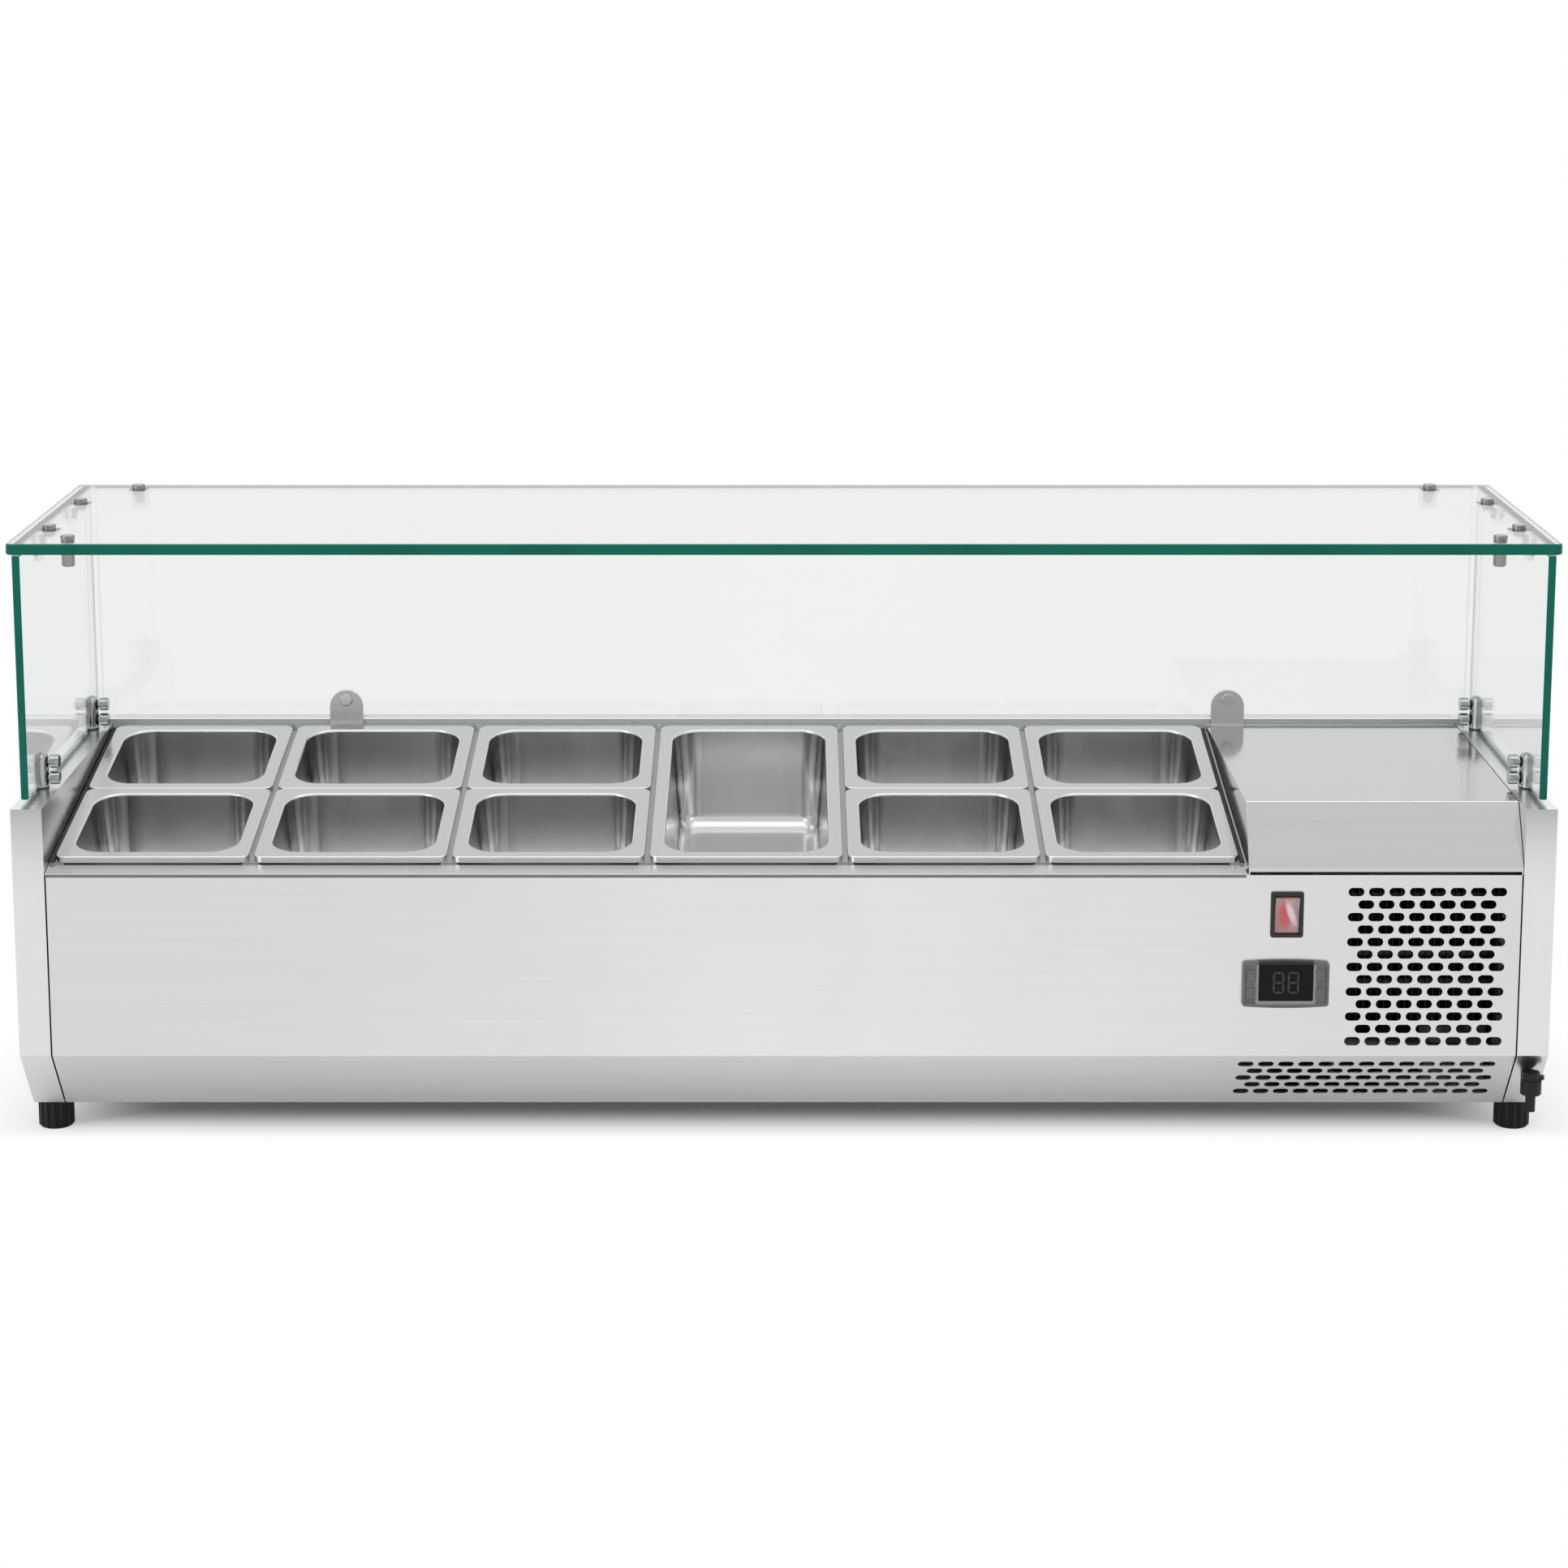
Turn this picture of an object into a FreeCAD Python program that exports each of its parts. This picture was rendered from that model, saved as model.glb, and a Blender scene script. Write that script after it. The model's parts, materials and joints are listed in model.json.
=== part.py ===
# Refrigerated condiment station: a countertop topping rail with a glass guard over its pans.
# Millimetres. X runs along the counter, Y towards the customer and Z up. The operator stands at -Y.
import FreeCAD, Part
import math
import os
import re

import Sketcher

Vector = FreeCAD.Vector
X_AXIS = Vector(1, 0, 0)
Y_AXIS = Vector(0, 1, 0)
Z_AXIS = Vector(0, 0, 1)

# How many of each repeat there are.
COLUMNS = 6
WHOLE_PAN_COLUMN = 4
VENT_ROWS = 13
VENT_COLUMNS = 8
NOSE_VENT_ROWS = 5
NOSE_VENT_COLUMNS = 13
FOOT_FLUTES = 14
FAN_BLADES = 5
FINS = 22
COIL_PASSES = 6
FRONT_STUDS = 2

SIZES = {
    # Gastronorm pans, third and sixth size
    "pan_width": 176,
    "pan_length": 325,
    "sixth_length": 162,
    "pan_depth": 100,
    "pan_sheet": 0.8,
    "pan_rim": 12,
    "rim_drop": 6,
    "rim_corner": 9,
    "rim_roll": 1.2,
    "pan_draft": 4,
    "pan_corner": 28,
    "pan_floor_radius": 14,
    "mouth_radius": 2.4,
    # Sloping deck that carries the pans
    "deck_tilt": 8.8,
    "pan_gap": 4.8,
    "side_gap": 6,
    "front_margin": 22,
    "rear_margin": 52,
    "rear_gap": 3,
    "rear_step": 7,
    "ledge": 8,
    "well_depth": 130,
    "well_corner": 18,
    "well_floor_radius": 10,
    "bar_width": 15,
    "bar_height": 12,
    "bar_play": 0.5,
    # Sheet-metal cabinet
    "steel": 1.2,
    "fold": 16,
    "fold_radius": 1.6,
    "seam": 0.5,
    "panel_seam": 1.5,
    "end_thick": 29,
    "skirt": 14,
    "bay_width": 250,
    "leg_gap": 28,
    "nose_height": 62,
    "nose_depth": 52,
    "front_height": 262,
    "cover_lip": 5.5,
    "cover_shadow": 1.8,
    "cover_fold": 35,
    "cover_drop": 0.6,
    "cover_foot": 13,
    "flange": 14,
    # Vent slots
    "slot_length": 14.4,
    "slot_height": 8,
    "slot_pitch": 18.5,
    "row_pitch": 11.75,
    "vent_edge": 22,
    "vent_top": 17,
    "nose_vent_edge": 25,
    "nose_vent_top": 14,
    # Glass guard
    "guard_height": 230,
    "glass_lift": 4,
    "top_glass": 10,
    "side_glass": 7,
    "guard_inset": 10,
    "guard_front": 20,
    "glass_overhang": 2,
    "glass_edge": 1,
    "seal": 1,
    "glass_corner": 5,
    "glass_arris": 1,
    "rear_glass_gap": 5.5,
    # Clamp pillars on the end panels
    "pillar_radius": 9.4,
    "pillar_height": 31.5,
    "pillar_dome": 5,
    "pillar_front": 84,
    "pillar_back": 328,
    "gasket": 1.5,
    "slot_play": 0.15,
    "pinch_radius": 2.5,
    "pinch_low": 8,
    "pinch_high": 23.5,
    "pinch_collar": 4,
    "pinch_collar_length": 1.5,
    "pinch_knob": 6.3,
    "pinch_knob_length": 8.5,
    # Half-round brackets of the rear glass
    "bracket_radius": 16.5,
    "bracket_height": 34,
    "bracket_sheet": 3,
    "bracket_foot": 28,
    "bracket_bolt_height": 25,
    "bracket_left": 437,
    "bracket_right": 443,
    # Corner clips and bolts of the glass
    "clip_leg": 20,
    "clip_sheet": 2.5,
    "clip_width": 18,
    "clip_bolt": 10,
    "clip_front": 106,
    "clip_back": 256,
    "rear_clip": 636,
    "bolt_radius": 3,
    "bolt_cap": 6.5,
    "bolt_cap_height": 3.6,
    "nut_radius": 5,
    "nut_height": 4,
    "stud_side": 648,
    "stud_front": 48,
    "stud_barrel": 6,
    "stud_length": 15,
    # Rocker switch
    "control_side": 36,
    "bezel_proud": 5,
    "switch_drop": 38,
    "switch_width": 30,
    "switch_height": 43,
    "switch_proud": 2.5,
    "switch_wall": 3.6,
    "switch_depth": 20,
    "switch_corner": 2.5,
    "switch_well": 14,
    "rocker_play": 0.5,
    "rocker_pivot": 3,
    "rocker_tilt": 8,
    "rocker_half": 16.8,
    "rocker_face": 2.8,
    "rocker_end": 1,
    "rocker_back": 3.5,
    "rocker_heel": 5,
    "rocker_pin": 1.5,
    "rocker_pin_length": 1.6,
    # Temperature controller
    "controller_drop": 103,
    "controller_width": 79,
    "controller_height": 44.5,
    "controller_bow": 1.6,
    "controller_body_width": 71,
    "controller_body_height": 31,
    "controller_depth": 46,
    "controller_edge": 1.5,
    "controller_corner": 3,
    "window_width": 50,
    "window_height": 34.6,
    "window_rise": 1.9,
    "window_sheet": 1.2,
    "window_inset": 0.4,
    "key_width": 8,
    "key_height": 11,
    "key_side": 32,
    "key_rise": 8.5,
    "key_play": 0.2,
    "key_proud": 0.6,
    "key_well": 3,
    "key_travel": 0.5,
    "key_edge": 0.4,
    "strip_width": 10.5,
    "strip_height": 34,
    "strip_recess": 0.8,
    # Screw feet
    "foot_radius": 16.5,
    "foot_inset": 17,
    "foot_front": 72,
    "foot_back": 46,
    "foot_play": 0.5,
    "foot_edge": 2,
    "foot_stud": 5,
    "stud_reach": 24,
    "stud_seat": 11,
    "stud_tip": 1,
    "flute_radius": 1.7,
    # Drain tap on the right end
    "tap_inset": 14,
    "tap_height": 60,
    "tap_front": 6,
    "tap_radius": 9.6,
    "tap_rise": 5,
    "tap_drop": 9,
    "tap_edge": 1.5,
    "tap_neck": 5.5,
    "tap_neck_length": 50,
    "tap_spout": 4.6,
    "tap_spout_drop": 25,
    "tap_bore": 3,
    "tap_bore_depth": 16,
    "tap_stem": 3,
    "tap_stem_depth": 6,
    "tap_knob": 7.8,
    "tap_knob_height": 7,
    "tap_lever": 12,
    "tap_tail": 7,
    "tap_lever_width": 7,
    "drain_bore": 7,
    "drain_wall": 1,
    "drain_drop": 60,
    "drain_fall": 24,
    "drain_bend": 18,
    # Cooling machine
    "coil_radius": 4,
    "coil_gap": 10,
    "coil_front": 70,
    "coil_back": 30,
    "coil_end": 70,
    "coil_turn": 100,
    "coil_stub": 8,
    "compressor_radius": 62,
    "compressor_height": 150,
    "compressor_dome": 28,
    "compressor_foot": 12,
    "compressor_back": 105,
    "plate_sheet": 3,
    "plate_half_x": 75,
    "plate_half_y": 60,
    "mount_side_x": 62,
    "mount_side_y": 48,
    "mount_height": 12,
    "mount_radius": 9,
    "stub_height": 110,
    "stub_length": 70,
    "stub_radius": 5.5,
    "condenser_width": 150,
    "condenser_height": 140,
    "condenser_depth": 34,
    "condenser_front": 40,
    "condenser_leg": 14,
    "tube_rows": 28,
    "tube_inset": 9,
    "tube_end": 6,
    "fin_sheet": 0.6,
    "fin_pitch": 6.4,
    "tube_radius": 4.5,
    "fan_radius": 62,
    "fan_hub": 17,
    "fan_hub_length": 16,
    "fan_root": 13,
    "root_chord": 20,
    "root_pitch": 45,
    "tip_chord": 40,
    "tip_pitch": 25,
    "blade_sheet": 1.6,
    "fan_room": 22,
    "shaft_radius": 3,
    "shaft_length": 20,
    "motor_gap": 3,
    "motor_radius": 33,
    "motor_length": 46,
    "motor_edge": 5,
    "stand_half": 20,
    "stand_sheet": 4,
    "pipe_radius": 4,
    "capillary_radius": 2,
    "pipe_bend": 10,
    "capillary_bend": 7,
    "pipe_room": 2,
    "pipe_side": 31,
    "drier_radius": 10,
    "drier_length": 90,
    "drier_cone": 12,
    "drier_lead": 25,
    "gland_radius": 9,
    "gland_neck": 7,
    "gland_length": 16,
    "gland_nut": 5,
    "gland_bore": 3.5,
    "gland_side": 30,
    "gland_back": 46,
    # Running and seating clearances
    "fit": 0.05,
    "room": 0.3,
}


def deck_point(along, above):
    """The Y and Z of a place on the sloping deck, as formulas."""
    return (
        f"({FRONT} + ({along}) * cos(deck_tilt) - ({above}) * sin(deck_tilt))",
        f"(front_height + ({along}) * sin(deck_tilt) + ({above}) * cos(deck_tilt))",
    )


# Places worked out from those sizes, as text that the spreadsheet's names go into.
STEP = "(pan_width + pan_gap)"
WELL = f"({COLUMNS} * pan_width + {COLUMNS - 1} * pan_gap + 2 * side_gap)"
INNER = f"(({WELL} + bay_width) / 2)"
HALF = f"({INNER} + end_thick)"
BAY = f"({INNER} - bay_width)"
DECK = "(front_margin + pan_length)"
DEPTH = f"({DECK} * cos(deck_tilt) + rear_margin)"
FRONT = f"((bezel_proud - {DEPTH}) / 2)"
BACK = f"((bezel_proud + {DEPTH}) / 2)"
RAIL = f"(front_height + {DECK} * sin(deck_tilt) + rear_step)"
REAR_LINE = f"({FRONT} + ({DECK} + rear_gap) * cos(deck_tilt))"
SLANT = "sqrt(nose_height * nose_height + nose_depth * nose_depth)"
MOUTH_LEFT = f"(-{INNER} + side_gap + ledge)"
MOUTH_RIGHT = f"({BAY} - side_gap - ledge)"
MOUTH_FRONT = "(front_margin + ledge)"
MOUTH_BACK = f"({DECK} - ledge)"
FLOOR = "(leg_gap + 2 * steel)"
GUARD_TOP = f"({RAIL} + guard_height)"
GLASS_X = f"({HALF} - guard_inset)"
GLASS_FACE = f"({GLASS_X} - side_glass / 2)"
REAR_GLASS = f"({REAR_LINE} + bracket_sheet + rear_gap)"
GUARD_BACK = f"({REAR_GLASS} + side_glass)"
CONTROL_X = f"({BAY} + control_side)"
SWITCH_Z = "(front_height - switch_drop)"
CONTROLLER_Z = "(front_height - controller_drop)"
VENT_X = f"({INNER} - vent_edge)"
FAN_X = f"({VENT_X} - {VENT_COLUMNS - 1} * slot_pitch / 2)"
FAN_Z = f"(front_height - vent_top - {VENT_ROWS - 1} * row_pitch / 2)"
FAN_Y = f"({FRONT} + condenser_front + condenser_depth + fan_room)"
COMPRESSOR_X = f"({INNER} - bay_width / 2)"
COMPRESSOR_Y = f"({BACK} - compressor_back)"
MOUNT_Z = f"({FLOOR} + mount_height)"
STUB_Z = f"({MOUNT_Z} + plate_sheet + stub_height)"
CONDENSER_X = f"({FAN_X} - condenser_width / 2)"
CONDENSER_Y = f"({FRONT} + condenser_front)"
TAP_X = f"({HALF} - tap_inset)"
TAP_Y = f"({FRONT} + tap_front)"
GLAND_X = f"({INNER} - gland_side)"
GLAND_Y = f"({BACK} - gland_back)"
DRAIN_X = f"({MOUTH_RIGHT} - 3 * well_corner)"
DRAIN_ALONG = f"({MOUTH_FRONT} + 2 * well_corner)"
DRAIN_Y, DRAIN_Z = deck_point(DRAIN_ALONG, "-(well_depth + drain_drop)")
CLIP_Z = f"({GUARD_TOP} - clip_bolt)"
PINCH_HEIGHTS = ("pinch_low", "pinch_high")
BRACKET_Z = f"({RAIL} + bracket_bolt_height)"
CLIPS = [
    ("left_front", f"-{GLASS_FACE}", f"({FRONT} + clip_front)", 0),
    ("left_back", f"-{GLASS_FACE}", f"({FRONT} + clip_back)", 0),
    ("right_front", GLASS_FACE, f"({FRONT} + clip_front)", 180),
    ("right_back", GLASS_FACE, f"({FRONT} + clip_back)", 180),
    ("rear_left", "-rear_clip", REAR_GLASS, -90),
    ("rear_right", "rear_clip", REAR_GLASS, -90),
]
TOP_BOLTS = [(f"{sign} * stud_side", f"({FRONT} + stud_front)") for sign in ("-1", "1")]
for _label, clip_x, clip_y, clip_turn in CLIPS:
    reach_x = {0: "clip_bolt", 180: "-clip_bolt", -90: "0"}[clip_turn]
    reach_y = "-clip_bolt" if clip_turn == -90 else "0"
    TOP_BOLTS.append((f"({clip_x} + {reach_x})", f"({clip_y} + {reach_y})"))
COIL_LEVEL = "(-(well_depth + steel + coil_radius + room))"
COIL_FIRST = f"({MOUTH_FRONT} + coil_front)"
COIL_LAST = f"({MOUTH_BACK} - coil_back)"

doc = FreeCAD.newDocument("condiment_station")
sheet = doc.addObject("Spreadsheet::Sheet", "Sizes")
for row, (alias, value) in enumerate(SIZES.items(), 1):
    sheet.set(f"A{row}", alias)
    sheet.set(f"B{row}", str(value))
    sheet.setAlias(f"B{row}", alias)
working = doc.addObject("Spreadsheet::Sheet", "Working")
doc.recompute()

nodes = []


def size(alias):
    """A size as the spreadsheet holds it now."""
    return float(sheet.get(alias))


def formula(text):
    """The text with each size's name written as its spreadsheet cell."""
    return re.sub(r"[a-z]\w*", lambda word: "Sizes." * (word[0] in SIZES) + word[0], text)


def value(text):
    """What a formula comes to, worked out in a cell of a second spreadsheet."""
    working.set("A1", f"={formula(text)}")
    working.recompute()
    return float(working.get("A1"))


def spot(x, y, z):
    return Vector(value(x), value(y), value(z))


def bind(thing, formulas):
    for name, text in formulas.items():
        thing.setExpression(name, formula(text))


def place(thing, x="0", y="0", z="0", axis=Z_AXIS, turn=0, turn_by=None):
    """Puts a thing at a place given by formulas, turned about an axis through it."""
    thing.Placement = FreeCAD.Placement(Vector(), FreeCAD.Rotation(axis, turn))
    bind(thing, {"Placement.Base.x": x, "Placement.Base.y": y, "Placement.Base.z": z})
    if turn_by:
        thing.Placement = FreeCAD.Placement(Vector(), FreeCAD.Rotation(axis, 1))
        bind(thing, {"Placement.Rotation.Angle": turn_by})
    return thing


def on_deck(thing, x="0", along="0", above="0"):
    """Puts a thing in the sloping deck's frame: along the slope from its front edge, and above it."""
    return place(thing, x, *deck_point(along, above), X_AXIS, turn_by="deck_tilt")


def deck_height(y_behind_front):
    return f"(front_height + ({y_behind_front}) * tan(deck_tilt))"


def new_body(label):
    body = doc.addObject("PartDesign::Body", label)
    body.Label = label
    return body


def node(thing, label=None):
    """Lists a finished sub-part, which is written under its label."""
    if label:
        thing.Label = label
    nodes.append(thing)
    return thing


def copy(label, original):
    link = doc.addObject("App::Link", label)
    link.LinkedObject = original
    link.Label = label
    return link


def group(label, members):
    """One node for a set of like pieces that stay separate solids."""
    compound = doc.addObject("Part::Compound", label)
    compound.Links = members
    return node(compound, label)


def sketch_on(body, role, shift="0"):
    """A sketch on one of the body's own origin planes, shifted along the plane's normal."""
    plane = next(part for part in body.Origin.OriginFeatures if part.Role == role)
    drawing = body.newObject("Sketcher::SketchObject", "outline")
    drawing.AttachmentSupport = [(plane, "")]
    drawing.MapMode = "FlatFace"
    bind(drawing, {"AttachmentOffset.Base.z": shift})
    return drawing


def dimension(drawing, constraint, text):
    number = drawing.addConstraint(constraint)
    bind(drawing, {f"Constraints[{number}]": text})


def pin_point(drawing, geometry, point, at, x, y):
    """Fixes one point of a sketch's geometry by two coordinates."""
    dimension(drawing, Sketcher.Constraint("DistanceX", geometry, point, at.x), x)
    dimension(drawing, Sketcher.Constraint("DistanceY", geometry, point, at.y), y)


def polygon(drawing, corners):
    """A closed outline whose corners are pairs of formulas."""
    count = len(corners)
    turns = [2 * math.pi * number / count for number in range(count)]
    starts = [Vector(math.cos(turn), math.sin(turn), 0) for turn in turns]
    first = len(drawing.Geometry)
    for number in range(count):
        drawing.addGeometry(Part.LineSegment(starts[number], starts[(number + 1) % count]))
    for number, (x, y) in enumerate(corners):
        following = first + (number + 1) % count
        drawing.addConstraint(Sketcher.Constraint("Coincident", first + number, 2, following, 1))
        pin_point(drawing, first + number, 1, starts[number], x, y)
    return drawing


def rectangle(drawing, left, right, low, high):
    return polygon(drawing, [(left, low), (right, low), (right, high), (left, high)])


def circle(drawing, x, y, radius):
    number = drawing.addGeometry(Part.Circle(Vector(), Z_AXIS, 1))
    pin_point(drawing, number, 3, Vector(), x, y)
    dimension(drawing, Sketcher.Constraint("Radius", number, 1), radius)
    return drawing


def obround(drawing, x, y, length, height):
    """A slot with round ends, lying along the sketch's X."""
    reach = f"(({length}) - ({height})) / 2"
    left, right = Vector(-1, 0, 0), Vector(1, 0, 0)
    quarter = math.pi / 2
    drawing.addGeometry(Part.ArcOfCircle(Part.Circle(left, Z_AXIS, 1), quarter, 3 * quarter))
    drawing.addGeometry(Part.LineSegment(Vector(-1, -1, 0), Vector(1, -1, 0)))
    drawing.addGeometry(Part.ArcOfCircle(Part.Circle(right, Z_AXIS, 1), -quarter, quarter))
    drawing.addGeometry(Part.LineSegment(Vector(1, 1, 0), Vector(-1, 1, 0)))
    for number in range(4):
        drawing.addConstraint(Sketcher.Constraint("Tangent", number, 2, (number + 1) % 4, 1))
    drawing.addConstraint(Sketcher.Constraint("Equal", 0, 2))
    pin_point(drawing, 0, 3, left, f"{x} - {reach}", y)
    pin_point(drawing, 2, 3, right, f"{x} + {reach}", y)
    dimension(drawing, Sketcher.Constraint("Radius", 0, 1), f"({height}) / 2")
    return drawing


def settle(body, feature):
    """Recomputes, and stops at a feature that failed."""
    doc.recompute()
    if "Up-to-date" not in feature.State:
        raise RuntimeError(f"{body.Label}: {feature.Label} failed")
    return feature


def rounded(drawing, left, right, low, high, radius):
    """A rectangle with round corners."""
    quarter = math.pi / 2
    corners = [Vector(1, 1, 0), Vector(-1, 1, 0), Vector(-1, -1, 0), Vector(1, -1, 0)]
    for number, centre in enumerate(corners):
        bend = Part.ArcOfCircle(Part.Circle(centre, Z_AXIS, 1), number * quarter, (number + 1) * quarter)
        following = corners[(number + 1) % 4]
        ahead = bend.EndPoint - centre
        drawing.addGeometry(bend)
        drawing.addGeometry(Part.LineSegment(bend.EndPoint, following + ahead))
    for number in range(8):
        drawing.addConstraint(Sketcher.Constraint("Tangent", number, 2, (number + 1) % 8, 1))
    for number in (2, 4, 6):
        drawing.addConstraint(Sketcher.Constraint("Equal", 0, number))
    for number, way in ((1, "Horizontal"), (3, "Vertical"), (5, "Horizontal"), (7, "Vertical")):
        drawing.addConstraint(Sketcher.Constraint(way, number))
    dimension(drawing, Sketcher.Constraint("Radius", 0, 1), radius)
    dimension(drawing, Sketcher.Constraint("DistanceY", 1, 1, 2), high)
    dimension(drawing, Sketcher.Constraint("DistanceX", 3, 1, -2), left)
    dimension(drawing, Sketcher.Constraint("DistanceY", 5, 1, -2), low)
    dimension(drawing, Sketcher.Constraint("DistanceX", 7, 1, 2), right)
    return drawing


def pad(body, drawing, length, reverse=False, taper=None):
    feature = body.newObject("PartDesign::Pad", "pad")
    feature.Profile = drawing
    feature.Reversed = reverse
    bind(feature, {"Length": length})
    if taper:
        bind(feature, {"TaperAngle": taper})
    return settle(body, feature)


def pocket(body, drawing, depth, reverse=False, taper=None):
    before = body.Shape.Volume
    feature = body.newObject("PartDesign::Pocket", "pocket")
    feature.Profile = drawing
    feature.Reversed = reverse
    bind(feature, {"Length": depth})
    if taper:
        bind(feature, {"TaperAngle": taper})
    settle(body, feature)
    if body.Shape.Volume >= before:
        raise RuntimeError(f"{body.Label}: {feature.Label} cuts nothing")
    return feature


def revolve(body, drawing, axis="V_Axis"):
    feature = body.newObject("PartDesign::Revolution", "revolution")
    feature.Profile = drawing
    feature.ReferenceAxis = (drawing, [axis])
    return settle(body, feature)


def turned(label, corners):
    """A round piece about its own Z, from half its section given as (radius, height) formulas."""
    body = new_body(label)
    revolve(body, polygon(sketch_on(body, "XZ_Plane"), corners))
    return body


def pattern(body, feature, drawing, columns, column_pitch, rows, row_pitch):
    """Repeats a pocket along its sketch's two axes, towards -X and -Y of the sketch."""
    repeats = body.newObject("PartDesign::LinearPattern", "grid")
    repeats.Originals = [feature]
    repeats.Direction = (drawing, ["H_Axis"])
    repeats.Reversed = True
    repeats.Mode = "Spacing"
    repeats.Occurrences = columns
    repeats.Direction2 = (drawing, ["V_Axis"])
    repeats.Reversed2 = True
    repeats.Mode2 = "Extent"
    repeats.Occurrences2 = rows
    bind(repeats, {"Offset": column_pitch, "Length2": f"{rows - 1} * {row_pitch}"})
    body.Tip = repeats
    settle(body, repeats)


def ring_of(body, feature, count):
    """Repeats a feature round the body's own Z."""
    axis = next(part for part in body.Origin.OriginFeatures if part.Role == "Z_Axis")
    repeats = body.newObject("PartDesign::PolarPattern", "ring")
    repeats.Originals = [feature]
    repeats.Axis = (axis, [""])
    repeats.Occurrences = count
    body.Tip = repeats
    settle(body, repeats)


def sharp(shape, edge):
    """Whether the two faces at an edge meet at an angle."""
    faces = shape.ancestorsOfType(edge, Part.Face)
    if len(faces) != 2:
        return False
    middle = edge.valueAt((edge.FirstParameter + edge.LastParameter) / 2)
    normals = [face.normalAt(*face.Surface.parameter(middle)) for face in faces]
    return abs(normals[0].dot(normals[1])) < 0.99


def soften(body, radius, choose, kind="Fillet"):
    """Rounds, or chamfers, the sharp edges that choose(edge's box) picks."""
    shape = body.Shape
    names = [
        f"Edge{number}"
        for number, edge in enumerate(shape.Edges, 1)
        if choose(edge.BoundBox) and sharp(shape, edge)
    ]
    if not names:
        raise RuntimeError(f"{body.Label}: no edge to soften")
    tip = body.Tip
    feature = body.newObject(f"PartDesign::{kind}", kind.lower())
    feature.Base = (tip, names)
    bind(feature, {"Radius" if kind == "Fillet" else "Size": radius})
    return settle(body, feature)


def upright(box):
    return box.ZLength > max(box.XLength, box.YLength)


def near(one, other):
    return abs(one - other) < 1e-3


def block(label, x, y, z):
    """A plain sheet or strip between pairs of formulas."""
    box = doc.addObject("Part::Box", label)
    ends = {"Length": x, "Width": y, "Height": z}
    bind(box, {side: f"({high}) - ({low})" for side, (low, high) in ends.items()})
    place(box, x[0], y[0], z[0])
    box.Label = label
    return box


def bent_path(points, bend):
    """Straight runs between points, joined by tangent arcs."""
    edges = []
    start = points[0]
    for before, corner, after in zip(points, points[1:], points[2:]):
        back = (before - corner).normalize()
        ahead = (after - corner).normalize()
        half = back.getAngle(ahead) / 2
        run = bend / math.tan(half)
        entry = corner + back * run
        leave = corner + ahead * run
        inward = (back + ahead).normalize()
        middle = corner + inward * (bend / math.sin(half) - bend)
        if (entry - start).Length > 1e-6:
            edges.append(Part.LineSegment(start, entry).toShape())
        edges.append(Part.Arc(entry, middle, leave).toShape())
        start = leave
    edges.append(Part.LineSegment(start, points[-1]).toShape())
    return Part.Wire(edges)


def tube(label, points, radius, bend, bore=0):
    """A bent tube along straight runs and arcs."""
    path = bent_path(points, bend)
    heading = points[1] - points[0]

    def swept(section):
        ring = Part.Wire(Part.Circle(points[0], heading, section).toShape())
        return path.makePipeShell([ring], True, False)

    shape = swept(radius)
    if bore:
        shape = shape.cut(swept(bore))
    wall = math.pi * (radius**2 - bore**2) * path.Length
    if abs(shape.Volume - wall) > 0.01 * wall:
        raise RuntimeError(f"{label}: the tube's volume is off")
    feature = doc.addObject("Part::Feature", label)
    feature.Shape = shape
    feature.Label = label
    return feature


def side_profile(inset, top=RAIL):
    """The cabinet's section seen from its end: level top, upright faces and the sloping nose."""
    front = f"({FRONT} + {inset})"
    back = f"({BACK} - {inset})"
    foot = f"(leg_gap + {inset})"
    high = f"({top} - {inset})"
    nose_area = "nose_height * nose_depth"
    nose_z = f"(leg_gap + ({nose_area} + {inset} * ({SLANT} - nose_height)) / nose_depth)"
    nose_y = f"({FRONT} + ({nose_area} + {inset} * ({SLANT} - nose_depth)) / nose_height)"
    return [(front, nose_z), (front, high), (back, high), (back, foot), (nose_y, foot)]


def end_panel(label, left):
    """A folded tray that is open towards the cabinet, with a skirt that shows above the deck."""
    outer = f"-{HALF}" if left else HALF
    low = outer if left else INNER
    open_side = f"-{INNER}" if left else INNER
    body = new_body(label)
    pad(body, polygon(sketch_on(body, "YZ_Plane", low), side_profile("0")), "end_thick")
    edge_x = body.Shape.BoundBox.XMin if left else body.Shape.BoundBox.XMax
    soften(body, "fold_radius", lambda box: near(box.XMin, edge_x) and near(box.XMax, edge_x))
    tray = polygon(sketch_on(body, "YZ_Plane", open_side), side_profile("steel"))
    pocket(body, tray, "end_thick - steel", reverse=not left)
    skirt = sketch_on(body, "YZ_Plane", f"{open_side} - steel" if left else open_side)
    rectangle(skirt, FRONT, BACK, "front_height - skirt", RAIL)
    pad(body, skirt, "steel")
    holes = sketch_on(body, "XY_Plane", "leg_gap + steel")
    stud_x = f"({outer} + foot_inset)" if left else f"({outer} - foot_inset)"
    for y in (f"{FRONT} + foot_front", f"{BACK} - foot_back"):
        circle(holes, stud_x, y, "foot_stud + fit")
    pocket(body, holes, "steel")
    if not left:
        drain = circle(sketch_on(body, "XZ_Plane", f"-{FRONT}"), TAP_X, "tap_height", "tap_neck + fit")
        pocket(body, drain, "nose_depth")
    return node(body)


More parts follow.
